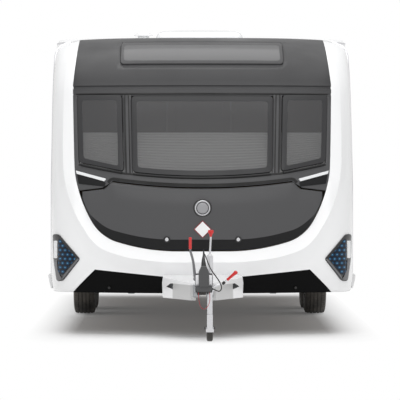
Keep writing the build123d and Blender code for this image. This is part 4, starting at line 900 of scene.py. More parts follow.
# %% Pane outlines and the panel's own rows and columns
# the panes' lower edges are one bow, and so is the lid's top line: height = middle + rise * X squared
FOOT_MIDDLE, FOOT_RISE = 1.242, 0.1032
LID_MIDDLE, LID_RISE = 1.156, 0.0995
LID_GAP = 0.006
foot_bow = [(x, FOOT_MIDDLE + FOOT_RISE * x**2) for x in np.linspace(-0.548, 0.548, 9)]
CENTRE_PANE = [*foot_bow, (0.563, 1.878), (-0.563, 1.878)]
SIDE_PANE = [(0.612, 1.278), (0.972, 1.349), (0.997, 1.889), (0.632, 1.887)]
SKYLIGHT = [(-0.655, 2.132), (0.655, 2.132), (0.655, 2.327), (-0.655, 2.327)]
lid_line = [(x, LID_MIDDLE + LID_RISE * x**2) for x in np.linspace(0, 0.711, 12)]
lid_line = np.array([*lid_line, (0.765, 1.152), (1.04, 1.118)])
window_foot = [(x, FOOT_MIDDLE + FOOT_RISE * x**2) for x in np.linspace(0, 0.548, 9)]
window_foot = np.array([*window_foot, (0.612, 1.278), (0.8, 1.312), (0.972, 1.349), (1.04, 1.362)])


def lid_height(x):
    """Height of the line between the lid and the window panel."""
    return np.interp(np.abs(x), lid_line[:, 0], lid_line[:, 1])


def foot_height(x):
    """Height of the panes' lower edges."""
    return np.interp(np.abs(x), window_foot[:, 0], window_foot[:, 1])


# each row is (kind, number): a share from the lid line to the panes' feet, from there to their heads, or a height
PANE_HEAD = 1.886
PANE_ROWS = 12
rows = [("low", s) for s in (0.0, 0.06, 0.3, 0.6, 0.85, 1.0)]
rows += [("mid", s) for s in np.linspace(0, 1, PANE_ROWS + 1)[1:]]
rows += [("up", h) for h in (1.892, 1.903, 1.915, 1.935, 1.942, 1.946, 1.96, 1.964, 1.99, 2.04, 2.09, 2.132)]
rows += [("up", h) for h in (2.17, 2.21, 2.25, 2.29, 2.327, 2.337, 2.347, 2.355, 2.362, 2.369, ROOF_END_HEIGHT)]
# columns on the right half: X at COLUMN_FOOT and X at the height COLUMN_TALL above it
COLUMN_FOOT, COLUMN_TALL = 1.3, 0.58
CENTRE_COLUMNS, SIDE_START, SIDE_COLUMNS = 12, 14, 8
COLUMNS = [(s * 0.548, s * 0.563) for s in np.linspace(0, 1, CENTRE_COLUMNS + 1)] + [(0.58, 0.598), (0.612, 0.632)]
COLUMNS += [(0.612 + s * 0.36, 0.632 + s * 0.365) for s in np.linspace(0, 1, SIDE_COLUMNS + 1)[1:]]
EDGE_STEPS = (0.5, 0.9, 1.0)  # further columns, as shares of the way from the last pane to the edge
COLUMN_COUNT = len(COLUMNS) + len(EDGE_STEPS)
ROOF_BEND = 2.3  # over it the rows bend to end level with the roof panel


def panel_point(row, column):
    """X and height on the panel for a row and a column of its right half, found by four substitutions."""
    kind, number = row
    height = 1.5
    for _ in range(4):
        edge, lean = float(edge_x(height)), (height - COLUMN_FOOT) / COLUMN_TALL
        if column < len(COLUMNS):
            low, high = COLUMNS[column]
            x = min(low + (high - low) * lean, edge - 0.004 * (COLUMN_COUNT - column))
        else:
            last = min(0.972 + 0.025 * lean, edge - 0.014)
            x = last + (edge - last) * EDGE_STEPS[column - len(COLUMNS)]
        if kind == "low":
            bottom = lid_height(x) + LID_GAP
            height = bottom + number * (foot_height(x) - bottom)
        elif kind == "mid":
            height = foot_height(x) + number * (PANE_HEAD - foot_height(x))
        elif number < ROOF_BEND:
            height = number
        else:
            share = (number - ROOF_BEND) / (ROOF_END_HEIGHT - ROOF_BEND)
            height = ROOF_BEND + share * (roof_end(x) - ROOF_BEND)
    return x, height


panel_right = np.array([[panel_point(row, column) for column in range(COLUMN_COUNT)] for row in rows])
# the panel's relief over the skin in millimetres, by height: a groove over the panes and a roof edge
RELIEF_HEIGHT = np.array([1.1, 1.886, 1.892, 1.903, 1.935, 1.942, 1.946, 1.96, 1.964, 1.99, 2.4])
RELIEF = np.array([0.0, 0.0, -6.0, 0.0, 0.0, -9.0, -9.0, -9.0, 0.0, 0.0, 0.0])
panel_proud = np.interp(panel_right[..., 1], RELIEF_HEIGHT, RELIEF / 1000)
panel_right = on_front(panel_right[..., 0], panel_right[..., 1], panel_proud)
panel_grid = np.concatenate([panel_right[:, ::-1] * (-1, 1, 1), panel_right[:, 1:]], axis=1)

pane_foot = rows.index(("low", 1.0))
sky_rows = [n for n, (kind, number) in enumerate(rows) if kind == "up" and 2.132 <= number < 2.327]
middle = COLUMN_COUNT - 1
keep = np.ones((len(rows) - 1, panel_grid.shape[1] - 1), bool)
for start, end in (
    (-CENTRE_COLUMNS, CENTRE_COLUMNS),
    (SIDE_START, SIDE_START + SIDE_COLUMNS), (-SIDE_START - SIDE_COLUMNS, -SIDE_START),
):
    keep[pane_foot : pane_foot + PANE_ROWS, middle + start : middle + end] = False
keep[sky_rows[0] : sky_rows[-1] + 1, middle - SIDE_START : middle + SIDE_START] = False

window_panel = build(
    "window_panel", [(panel_grid, False, keep)], dark_gelcoat, "dark_panel", smooth=25.0
)
thicken(window_panel, SHELL_THICKNESS)
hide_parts("front_window_panel")
print("window panel:", len(window_panel.data.polygons), "quads, openings from row", pane_foot)

# %% [markdown]
# ## The panes
# Each pane is a bonded acrylic bubble: it stands a little proud, its rim rounds over, and its back carries
# a dark printed border that hides the glue. Rings drawn in from the outline make the rim, the border and
# the clear middle, each ring a smaller copy of the outline.


# %% Panes
def skin_patch(outline, rings, place=on_front):
    """Closed piece on a face from copies of an outline; each ring is (share of full size, inset in m, proud in m)."""
    outline = np.asarray(outline, float)
    middle = (outline.min(axis=0) + outline.max(axis=0)) / 2
    away = outline - middle
    reach = np.abs(away).max(axis=0)
    grid = []
    for share, inset, proud in rings:
        scale = share * (1 - inset / reach)
        flat = middle + away * scale
        grid.append(place(flat[:, 0], flat[:, 1], proud))
    return closed(np.array(grid))


def pane(name, corners, radius, border=0.045, rise=0.008, place=on_front, body="root", clear_finish=tinted_pane):
    """Pane with its rim and printed border, and the clear middle as a piece of its own."""
    outline = rounded_outline(corners, radius, 0.03)
    rim = [(1, 0.004, -0.012), (1, 0.004, rise - 0.006), (1, 0.006, rise - 0.001), (1, 0.012, rise)]
    back = [(1, border, rise), (1, border, rise - 0.004), (1, 0.012, -0.012), rim[0]]
    edge = skin_patch(outline, [*rim, *back], place)
    frame_piece = build(f"{name}_border", [edge], pane_print, "tinted_acrylic", body)
    middle_rings = [(s, border, rise - 0.0005) for s in np.linspace(1, 0, 14)]
    middle_rings += [(s, border, rise - 0.004) for s in np.linspace(0, 1, 14)]
    middle = skin_patch(outline, [*middle_rings, middle_rings[0]], place)
    return [frame_piece, build(name, [middle], clear_finish, "tinted_acrylic", body)]


SIDES = ((1, "near"), (-1, "far"))


def sided(corners, side):
    """An outline given for the near side as it is for side 1, or its mirror image for side -1."""
    return [(side * x, height) for x, height in corners][::side]


panes = pane("centre_pane", CENTRE_PANE, 0.03)
panes += pane("side_pane_near", SIDE_PANE, 0.03)
panes += pane("side_pane_far", sided(SIDE_PANE, -1), 0.03)
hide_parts("front_windows")


def foot_shadow_seal(name, left, right):
    """Round rubber bead under a pane's lower edge, from X left to X right; its black also paints the shadow line
    under the pane.
    """
    across = np.linspace(left, right, 25)
    line = on_front(across, foot_height(across) - 0.009, 0.008)
    return build(name, [pipe(line, 0.008, side=(0.0, 1.0, 0.0))], black_moulding, "black_rubber")


foot_shadow_seal("centre_foot_seal", -0.535, 0.535)
foot_shadow_seal("side_foot_seal_near", 0.63, 0.955)
foot_shadow_seal("side_foot_seal_far", -0.955, -0.63)
sky_pane = pane("sky_pane", SKYLIGHT, 0.03, border=0.03, rise=0.006, clear_finish=sky_tint)
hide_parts("skylight_glass")
print("panes:", [p.name for p in panes + sky_pane])

# %% [markdown]
# Behind the front panes hang slatted blinds, half lowered, so each pane is lighter below than above. The blinds glow
# faintly: painted light of the room.

# %% Blinds behind the front panes
BLIND_HEAD = 1.606
SLATS = 16
SLAT_THICKNESS = 0.003
fold_share = np.linspace(0.0, 1.0, 2 * SLATS + 1)
fold_depth = np.where(np.arange(2 * SLATS + 1) % 2 == 0, -0.050, -0.044)


def blind(name, corners):
    """Closed zigzag of slats behind a pane, from its foot to the blind's head rail."""
    corners = np.array(corners)
    across = np.linspace(corners[:, 0].min() + 0.012, corners[:, 0].max() - 0.012, 15)
    foot = foot_height(across) + 0.008
    height = foot + fold_share[:, None] * (BLIND_HEAD - foot)
    height, across = common(height, across)
    front = on_front(across, height, fold_depth[:, None])
    back = on_front(across, height, fold_depth[:, None] - SLAT_THICKNESS)
    loop = np.concatenate([front, back[::-1], front[:1]])
    ends = [np.broadcast_to(loop[:, k].mean(axis=0), loop[:, :1].shape) for k in (0, -1)]
    slats = np.concatenate([ends[0], loop, ends[1]], axis=1)
    return build(name, [slats], blind_glow_finish, "upholstery", smooth=20)


blinds = [blind("centre_blind", CENTRE_PANE)]
blinds += [blind(f"side_blind_{word}", sided(SIDE_PANE, side)) for side, word in SIDES]
print("blinds:", [b.name for b in blinds])

# %% [markdown]
# ## The gas locker's lid
# The lid hangs under the window panel. Its face bulges forward and then tucks under along a lip that is painted
# darker as shade, so that the bottom edge meets the white surround. Rows run from the top line down to the edge line.

# %% Lid
LID_BULGE = 0.026
LIP_WIDTH = 0.086
LIP_ROWS = 6  # rows of quads in the lip, from the bottom up
edge_slope = unit(np.gradient(dark_edge, axis=0))
inset_edge = dark_edge + LID_GAP * np.stack([-edge_slope[:, 1], edge_slope[:, 0]], axis=-1)
over_line = inset_edge[:, 1] - (lid_height(inset_edge[:, 0]) - LID_GAP)
corner_distance = float(np.interp(0.0, over_line[1:60], edge_length[1:60]))
lid_across = np.concatenate([np.linspace(0.0, 0.94, 44), [0.96, 0.975, 0.986, 0.994, 1.0]])
at_bottom = lid_across * corner_distance
lid_bottom = np.stack([np.interp(at_bottom, edge_length, inset_edge[:, k]) for k in (0, 1)], axis=-1)
lid_top_x = np.sin(lid_across * np.pi / 2) * lid_bottom[-1, 0]
lid_top = np.stack([lid_top_x, lid_height(lid_top_x) - LID_GAP], axis=-1)
lid_drop = np.linalg.norm(lid_bottom - lid_top, axis=1)
lip = LIP_WIDTH * np.clip(lid_drop / 0.33, 0.0, 1.0)
lip_share = lip / np.maximum(lid_drop, 1e-6)
# rows as distances up from the bottom, in parts of the lip, and then as shares of the rest
in_lip = np.array([0.0, 0.05, 0.3, 0.6, 0.85, 0.95, 1.0, 1.06, 1.15])
above_lip = np.linspace(0.0, 1.0, 20)[1:]
shares = np.concatenate(
    [lip_share * part for part in in_lip[:, None]]
    + [lip_share * 1.15 + part * (1 - lip_share * 1.15) for part in above_lip[:, None]]
).reshape(-1, len(lid_across))
lid_place = lid_bottom + shares[..., None] * (lid_top - lid_bottom)
climb = np.clip(shares / np.maximum(lip_share, 1e-6), 0.0, 1.0)
from_top = np.clip((1 - shares) * lid_drop / 0.16, 0.0, 1.0)
side_calm = np.clip((1 - lid_across) / 0.18, 0.0, 1.0)
lid_proud = LID_BULGE * climb * np.sin(from_top * np.pi / 2) * side_calm
lid_right = on_front(lid_place[..., 0], lid_place[..., 1], lid_proud)
lid_grid = np.concatenate([lid_right[:, ::-1] * (-1, 1, 1), lid_right[:, 1:]], axis=1)
locker_lid = build("locker_lid", [lid_grid], dark_gelcoat, "dark_panel", "gas_lid", smooth=20.0)
# the lip's quads take the darker finish: painted shade where the lid tucks under
shaded_lip_faces = np.zeros(len(locker_lid.data.polygons), int)
face_rows = np.repeat(np.arange(lid_grid.shape[0] - 1), lid_grid.shape[1] - 1)
if len(face_rows) == len(shaded_lip_faces):
    shaded_lip_faces[face_rows < LIP_ROWS] = 1
    locker_lid.data.materials.append(lip_shade_and_housing)
    locker_lid.data.polygons.foreach_set("material_index", shaded_lip_faces)
thicken(locker_lid, 0.012)
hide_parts("gas_locker_lid")
print("lid:", len(shaded_lip_faces), "quads,", int(shaded_lip_faces.sum()), "in the lip; corner at", lid_bottom[-1].round(3))

# %% [markdown]
# ## Lamps, badge and locks on the front
# The upper lamps are dark housings with a bright strip along the top. The corner lamps have a black frame,
# a white strip, and a deep blue field with a pattern of small round lenses in staggered rows.


# %% Upper lamps
def solid_patch(name, corners, radius, rise, material, slot, depth=0.012, body="root", base=0.0, place=on_front):
    """Closed raised plate on a face with a rounded rim; corners are two numbers on the face."""
    outline = rounded_outline(corners, radius, 0.02)
    back, top = base - depth, base + rise
    rings = [(0, 0.0, back), (1, 0.0, back), (1, 0.0, base + rise * 0.6), (1, 0.0015, base + rise * 0.92)]
    rings += [(s, 0.004, top) for s in (1, 0.75, 0.5, 0.25, 0)]
    return build(name, [skin_patch(outline, rings, place)], material, slot, body)


LAMP_HOUSING = [(0.757, 1.196), (0.766, 1.164), (0.972, 1.186), (0.99, 1.285), (0.972, 1.288)]
LAMP_STRIP = [(0.752, 1.222), (0.768, 1.204), (0.986, 1.262), (0.992, 1.288)]
strip_white = rippled("strip_white", srgb(0.93, 0.935, 0.94), 0.2, 120.0, 0.0002, Coat_Weight=0.5)
for side, word in SIDES:
    solid_patch(f"upper_lamp_{word}", sided(LAMP_HOUSING, side), 0.006, 0.004, lip_shade_and_housing, "lamp_lens")
    solid_patch(f"upper_strip_{word}", sided(LAMP_STRIP, side), 0.004, 0.011, strip_white, "lamp_lens")
print("upper lamps: a housing and a strip on each of", len(SIDES), "sides")

# %% The lens field of the corner lamps
lens_field, lens_tree, lens_shader = finish(
    "lens_field", srgb(0.03, 0.1, 0.2), 0.2, Coat_Weight=0.12, Coat_Roughness=0.06, Specular_IOR_Level=0.2
)
LENS_PITCH = 0.04
LENS_ROW = LENS_PITCH * 0.85
lens_map = add_node(
    lens_tree, "ShaderNodeMapping", [("Vector", coordinates(lens_tree))], Scale=(1 / LENS_PITCH, 0.0, 1 / LENS_ROW)
)
lens_rows = add_node(lens_tree, "ShaderNodeSeparateXYZ", [("Vector", lens_map.outputs[0])])


def lens_maths(operation, first, second=None):
    """Math node in the lens field's finish."""
    return maths(lens_tree, operation, first, second)


# the distance of a place from the middle of its lens; every other row is shifted by half a lens
row_odd = lens_maths("MODULO", lens_maths("ABSOLUTE", lens_maths("FLOOR", lens_rows.outputs["Z"])), 2.0)
shifted = lens_maths("ADD", lens_rows.outputs["X"], lens_maths("MULTIPLY", row_odd, 0.5))
offsets = [lens_maths("SUBTRACT", lens_maths("FRACT", place), 0.5) for place in (shifted, lens_rows.outputs["Z"])]
from_lens = lens_maths("SQRT", lens_maths("ADD", *(lens_maths("MULTIPLY", part, part) for part in offsets)))
lens_dot = spread(lens_tree, from_lens, 0.05, 0.2, 1.0, 0.0)
lens_ring = spread(lens_tree, from_lens, 0.26, 0.52, 0.0, 1.0)
lens_blue = blend_colours(lens_tree, lens_ring, srgb(0.03, 0.23, 0.37), srgb(0.005, 0.015, 0.03))
lens_tint = blend_colours(lens_tree, lens_dot, lens_blue, srgb(0.36, 0.6, 0.72))
lens_tree.links.new(lens_tint, lens_shader.inputs["Base Color"])
lens_bump = add_node(lens_tree, "ShaderNodeBump", [("Height", lens_dot)], Distance=0.004, Strength=0.6)
lens_tree.links.new(lens_bump.outputs["Normal"], lens_shader.inputs["Normal"])

# %% Corner lamps
CORNER_FRAME = [(1.179, 0.785), (1.131, 0.788), (0.957, 0.596), (1.097, 0.418), (1.145, 0.415), (1.173, 0.594)]
CORNER_LENS = [(1.128, 0.748), (1.118, 0.752), (0.985, 0.602), (1.092, 0.468), (1.128, 0.47)]
CORNER_STRIP = [(1.163, 0.735), (1.136, 0.735), (1.136, 0.596), (1.163, 0.596)]
CORNER_FACET = [(1.163, 0.588), (1.136, 0.588), (1.13, 0.46), (1.096, 0.444), (1.103, 0.428), (1.14, 0.424)]
LOWER_FACET = [(1.086, 0.462), (0.974, 0.6), (0.962, 0.596), (1.098, 0.426)]
facet_grey = rippled("facet_grey", srgb(0.4, 0.4, 0.41), 0.3, 150.0, 0.0003, Coat_Weight=0.3)
for side, word in SIDES:
    for title, corners, radius, rise, material in (
        ("corner_frame", CORNER_FRAME, 0.02, 0.010, black_gloss),
        ("corner_lens", CORNER_LENS, 0.014, 0.014, lens_field),
        ("corner_strip", CORNER_STRIP, 0.006, 0.017, strip_white),
        ("corner_facet", CORNER_FACET, 0.008, 0.015, facet_grey),
        ("lower_facet", LOWER_FACET, 0.006, 0.0155, facet_grey),
    ):
        lamp = solid_patch(f"{title}_{word}", sided(corners, side), radius, rise, material, "lamp_lens")
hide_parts("front_lamps")

# %% [markdown]
# The badge is left as a plain chrome ring round a smooth disc, and the diamond sign as a blank white plate
# with a thin dark red edge. Two lock barrels sit in dark collars on the lid. All of these ride on the lid.

# %% Badge, sign and locks on the lid
BADGE_CENTRE = (0.0, 0.999)
SIGN_CENTRE = (0.0, 0.834)
SIGN_HALF = 0.07
LOCKS = ((-0.278, 0.754), (0.278, 0.754))


def lid_face_y(x, height):
    """Y of the lid's bulged face at X and height, found from the lid's own grid."""
    flat = lid_grid.reshape(-1, 3)
    near = np.argmin(np.hypot(flat[:, 0] - x, flat[:, 2] - height))
    return float(flat[near, 1])


def on_lid(name, profile, x, height, material, slot, count=40):
    """Turned piece standing on the lid; the profile is distance out from its face, and radius."""
    centre = (x, lid_face_y(x, height) + 0.002, height)
    return build(name, [turned(profile, centre, (0.0, -1.0, 0.0), count)], material, slot, "gas_lid")


badge_grey = brushed_metal("badge_grey", srgb(0.84, 0.84, 0.85), 0.3, (300.0, 300.0, 300.0))
medal_grey = rippled("medal_grey", srgb(0.6, 0.6, 0.61), 0.35, 150.0, 0.0003, Coat_Weight=0.3)
BADGE_DISC = mm(((-10, 0), (-10, 73), (4, 73), (6, 70.5), (4.5, 63.5), (3.5, 0)))
BADGE_RING = mm(((0, 48), (0, 60.5), (7, 60.5), (10.5, 57.5), (10.5, 51.5), (7, 48.5), (4, 48), (0, 48)))
BADGE_BOSS = mm(((0, 0), (0, 43.5), (6, 43.5), (8.5, 41), (10.5, 30), (12, 15), (12.5, 0)))
LOCK_COLLAR = mm(((-10, 0), (-10, 26), (6, 26), (9, 22), (9, 0)))
LOCK_BARREL = mm(((0, 0), (0, 14), (14, 14), (16, 12), (16, 3), (12, 2), (12, 0)))
on_lid("badge_disc", BADGE_DISC, *BADGE_CENTRE, black_gloss, "dark_panel")
on_lid("badge_ring", BADGE_RING, *BADGE_CENTRE, badge_grey, "zinc_steel", 64)
on_lid("badge_boss", BADGE_BOSS, *BADGE_CENTRE, medal_grey, "zinc_steel", 48)
for word, (x, height) in zip(("far", "near"), LOCKS):
    on_lid(f"lock_collar_{word}", LOCK_COLLAR, x, height, *BLACK_PARTS)
    on_lid(f"lock_barrel_{word}", LOCK_BARREL, x, height, badge_grey, "zinc_steel")


def diamond_plate(name, half, low, high, material):
    """Square plate on its corner, flat and upright, with a small bevel round its face."""
    turn = np.linspace(0, 2 * np.pi, 4, endpoint=False)
    ring = np.column_stack([np.sin(turn), np.cos(turn)])
    y = lid_face_y(*SIGN_CENTRE)
    grid = []
    for share, out in ((0, low), (1, low), (1, high - 0.001), (0.98, high), (0, high)):
        x, z = (np.array(SIGN_CENTRE) + ring * half * share).T
        grid.append(np.column_stack([x, np.full(4, y - out), z]))
    return build(name, [closed(np.array(grid))], material, "red_plastic", "gas_lid", smooth=20)


sign_white = rippled("sign_white", srgb(0.95, 0.95, 0.95), 0.35, 200.0, 0.0002)
sign_edge_red = rippled("sign_edge_red", srgb(0.5, 0.1, 0.14), 0.35, 200.0, 0.0002)
diamond_plate("sign_edge", SIGN_HALF, -0.03, 0.004, sign_edge_red)
diamond_plate("sign_face", SIGN_HALF - 0.009, 0.0, 0.006, sign_white)
print("badge, blank sign and", len(LOCKS), "locks on the lid")

# %% [markdown]
# ## Gap lines
# Soft black seals run under the panes, just over the lid, over the panes' heads and up the pillars between
# the panes. Those under the panes and over the lid also paint the shadow lines there. A seal is a small round-topped
# section carried along a line on the skin.


# %% Seals on the front
def lip_seal(name, line, width, low, high):
    """Seal along a line of X and height on the skin: low and high are its depth and how proud it stands."""
    line = resample(line, 0.02)
    points = on_front(line[:, 0], line[:, 1])
    normal = skin_normal(arc_at(line[:, 0], line[:, 1]), line[:, 1])
    across = unit(np.cross(normal, unit(np.gradient(points, axis=0))))
    half, turn = width / 2, 0.002
    section = [(-half, low), (half, low), (half, high - turn), (half - turn, high)]
    section += [(turn - half, high), (-half, high - turn)]
    return build(name, [strip(points, across, normal, section)], *SEALS)


foot_x = np.linspace(-0.972, 0.972, 90)
# the bead all along the panes' feet: a seal whose black also paints the shadow line there
lip_seal("foot_shadow_seal", np.column_stack([foot_x, foot_height(foot_x) - 0.012]), 0.017, -0.01, 0.002)
lid_x = np.linspace(-0.74, 0.74, 70)
over_lid = np.minimum(lid_height(lid_x) + 0.02, foot_height(lid_x) - 0.04)
# the black strip just over the lid: a seal whose black also paints the shadow line along the lid's top
lip_seal("lid_shadow_seal", np.column_stack([lid_x, over_lid]), 0.024, -0.01, 0.0025)
lip_seal("head_seal", np.column_stack([np.linspace(-1.0, 1.0, 60), np.full(60, 1.897)]), 0.012, -0.01, 0.001)
PILLAR_SEALS = {"inner_pillar": ((0.566, 1.262), (0.584, 1.89)), "outer_pillar": ((0.596, 1.268), (0.614, 1.89))}
for side, word in SIDES:
    for title, (low, high) in PILLAR_SEALS.items():
        t = np.linspace(0, 1, 30)[:, None]
        line = (1 - t) * np.array(low) + t * np.array(high)
        lip_seal(f"{title}_{word}", line * (side, 1), 0.011, -0.008, 0.0015)
print("seals made")

# %% [markdown]
# ## Softened edges
# Cast, pressed and moulded pieces never have knife edges. Such a piece is copied from its solid, its flat
# faces are joined up again, and a small bevel turns every hard edge.


# %% Bevelled copies of solids
HARD_ANGLE = 25.0


def softened(node, width, material, slot, body="root", segments=2):
    """Copy of a solid with its hard edges turned by a bevel of that width; it stands for the node."""
    mesh = nodes[node].data.copy()
    mesh.name = f"{node}_soft"
    work = bmesh.new()
    work.from_mesh(mesh)
    bmesh.ops.remove_doubles(work, verts=work.verts, dist=2e-5)
    bmesh.ops.dissolve_limit(work, angle_limit=np.radians(0.6), verts=work.verts, edges=work.edges)
    bmesh.ops.recalc_face_normals(work, faces=work.faces)
    work.to_mesh(mesh)
    work.free()
    mesh.materials.clear()
    mesh.materials.append(material)
    mesh.shade_smooth()
    mesh.set_sharp_from_angle(angle=np.radians(HARD_ANGLE))
    piece = new_object(f"{node}_soft", mesh)
    bevel = piece.modifiers.new("edges", "BEVEL")
    bevel.limit_method = "ANGLE"
    bevel.angle_limit = np.radians(HARD_ANGLE)
    bevel.width = width
    bevel.segments = segments
    bevel.harden_normals = True
    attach(piece, body)
    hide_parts(node)
    return piece


# %% Finishes of the underside and the towing gear
panel_black = rippled("panel_black", srgb(0.025, 0.025, 0.027), 0.5, 120.0, 0.0003, Specular_IOR_Level=0.08)
lever_steel = brushed_metal("lever_steel", srgb(0.5, 0.5, 0.51), 0.38, (60.0, 60.0, 900.0))
spring_black = rippled("spring_black", srgb(0.03, 0.03, 0.032), 0.6, 300.0, 0.0006)

# columns: node, bevel width, finish, slot, body
STEADIES = ("front_near", "front_far", "rear_near", "rear_far")
SOFT_PIECES = (
    ("coupling_head", 0.004, cast_grey, "grey_casting", "root"),
    ("overrun_housing", 0.004, black_paint, "black_steel", "root"),
    ("jockey_outer_tube", 0.0012, *ZINC_PARTS, "root"),
    ("jockey_stem", 0.001, *ZINC_PARTS, "jockey_leg"),
    ("jockey_fork", 0.001, *ZINC_PARTS, "jockey_caster"),
    ("steady_brackets", 0.001, *GALVANISED, "root"),
    *((f"steady_{place}", 0.002, *GALVANISED, f"leg_{place}") for place in STEADIES),
    ("chassis_members", 0.0015, *GALVANISED, "root"),
    ("a_frame_members", 0.003, *GALVANISED, "root"),
    ("cross_members", 0.002, *GALVANISED, "root"),
    ("axle_front", 0.004, black_paint, "black_steel", "root"),
    ("axle_rear", 0.004, black_paint, "black_steel", "root"),
    ("skirts", 0.004, white_sheet, "white_moulding", "root"),
    ("rear_bumper", 0.006, *BLACK_PARTS, "root"),
    ("rear_panel", 0.002, *WHITE_PARTS, "root"),
    ("wheel_boxes", 0.002, *BLACK_PARTS, "root"),
    ("locker_bulkhead", 0.001, timber_finish, "plywood", "root"),
    ("kitchen_unit", 0.003, *WOOD_PARTS, "root"),
    ("washroom_partition", 0.002, *WOOD_PARTS, "root"),
)
for soft_piece in SOFT_PIECES:
    softened(*soft_piece)
for material, *names in ((white_sheet, "side_wall_near", "side_wall_far", "roof_panel"), (floor_board, "floor")):
    for place in (place for name in names for place in nodes[name].material_slots):
        place.material = material  # these solids keep their own meshes
print("softened pieces:", len(SOFT_PIECES))

# %% Cover over the A-frame
CREASE = 0.425
UPPER_LEAN, LOWER_LEAN = 0.15, 0.04  # how much each side leans in, per metre up or down from the crease
COVER_BACK = -2.4
COVER_HALF_WIDTH, COVER_LENGTH = 0.314, 0.708
a_frame_cover = softened("a_frame_cover", 0.0035, cover_gelcoat_shaded, "white_moulding")
work = bmesh.new()
work.from_mesh(a_frame_cover.data)
everything = [*work.verts, *work.edges, *work.faces]
bmesh.ops.bisect_plane(work, geom=everything, plane_co=(0, 0, CREASE), plane_no=(0, 0, 1), dist=1e-5)
for vertex in work.verts:
    over = vertex.co.z - CREASE
    inset = UPPER_LEAN * over if over > 0 else -LOWER_LEAN * over
    vertex.co.x *= 1 - inset / COVER_HALF_WIDTH
    vertex.co.y = COVER_BACK + (vertex.co.y - COVER_BACK) * (1 - inset / COVER_LENGTH)
bmesh.ops.recalc_face_normals(work, faces=work.faces)
work.to_mesh(a_frame_cover.data)
work.free()
print("cover:", len(a_frame_cover.data.polygons), "faces, crease at", CREASE)

# %% Black panel under the white surround
LOWER_PANEL = [(-1.03, 0.331), (1.03, 0.331), (0.848, 0.52), (0.318, 0.47), (-0.318, 0.47), (-0.848, 0.52)]
lower_outline = resample(np.array([*LOWER_PANEL, LOWER_PANEL[0]]), 0.03)[:-1]
lower_rings = [(s, 0.0, -0.016) for s in np.linspace(0, 1, 9)] + [(s, 0.0, -0.0045) for s in np.linspace(1, 0, 9)]
lower_panel = build("lower_panel", [skin_patch(lower_outline, lower_rings)], panel_black, "black_plastic")
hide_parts("lower_front_panel")
NUB_PROFILE = mm(((-10, 0), (-10, 11), (6, 10.5), (9, 8), (9, 0)))
NUB_Z = 0.372
nubs = [turned(NUB_PROFILE, (x, on_front(x, NUB_Z)[1], NUB_Z), (0, -1, 0), 20) for x in (-0.73, 0.73)]
build("panel_nubs", nubs, *BLACK_PARTS)

# %% [markdown]
# ## Wheels
# A tyre is one closed section carried round the wheel: bead, side wall with a few raised rings, shoulder
# and tread. Four grooves run round it, and slanting cuts divide the shoulders into blocks. The cuts are
# shallow steps of the radius that depend on the turn and on the place across the tread.

# %% Tyres
TYRE_RADIUS = 0.308
TYRE_CENTRE_X = 1.025
WHEELS = {"front": 0.78, "rear": 1.6}
GROOVES = (-0.048, -0.0165, 0.0165, 0.048)  # their places across the tread
GROOVE_HALF, GROOVE_DEPTH = 0.0042, 0.007
BLOCKS = 72
# side wall: columns are distance from the middle plane, and radius
SIDE_WALL = mm((
    (83, 190.5), (90.5, 204), (93.5, 222), (94.8, 240), (94.5, 243), (94.8, 246), (94.6, 262), (92, 278),
    (89.5, 283),
))
TREAD_HALF = 0.084

tread_x = np.unique(np.concatenate([
    [g + k for g in GROOVES for k in (-GROOVE_HALF - 0.0004, -GROOVE_HALF, GROOVE_HALF, GROOVE_HALF + 0.0004)],
    [-TREAD_HALF, -0.076, -0.066, -0.058, 0.0, 0.058, 0.066, 0.076, TREAD_HALF],
]))
tread_radius = TYRE_RADIUS - 0.009 * (np.abs(tread_x) / TREAD_HALF) ** 4
turn_steps = 4 * BLOCKS
tyre_turn = np.linspace(0.0, 2.0 * np.pi, turn_steps, endpoint=False)


def tyre_section():
    """Profile going once round the tyre's section: columns are across, radius, and how much the cuts bite."""
    near = [(x, r, 0.0) for x, r in SIDE_WALL]
    tread = []
    for x, r in zip(tread_x[::-1], tread_radius[::-1]):
        in_groove = any(abs(x - g) <= GROOVE_HALF + 1e-6 for g in GROOVES)
        cut = 1.0 if abs(x) > 0.052 and not in_groove else 0.0
        tread.append((x, r - (GROOVE_DEPTH if in_groove else 0.0), cut))
    far = [(-x, r, 0.0) for x, r in SIDE_WALL[::-1]]
    return np.array(near + tread + far)


section = tyre_section()
slant = np.round(np.abs(section[:, 0]) / 0.02)
phase = (np.arange(turn_steps)[:, None] - slant[None, :]) % 4
cut_depth = np.where(phase == 0, 0.005, 0.0) * section[None, :, 2]
tyre_r = section[None, :, 1] - cut_depth
tyre_grid = np.stack([
    np.broadcast_to(section[None, :, 0], tyre_r.shape),
    tyre_r * np.sin(tyre_turn)[:, None],
    tyre_r * np.cos(tyre_turn)[:, None],
], axis=-1)


def wheel_places():
    """Name, side and centre of each of the four wheels; the side is 1 near and -1 far."""
    for row, y in WHEELS.items():
        for side, word in SIDES:
            yield f"{row}_{word}", side, np.array([side * TYRE_CENTRE_X, y, TYRE_RADIUS])


for title, side, centre in wheel_places():
    placed = tyre_grid * (side, 1, 1) + centre
    ring = closed(np.concatenate([placed, placed[:1]]))  # its rows close round as well
    tyre = build(f"tyre_{title}_tread", [ring], tyre_rubber, "tyre_rubber", f"wheel_{title}", smooth=30)
    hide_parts(f"tyre_{title}")
print("tyres:", len(tyre.data.polygons), "quads each")

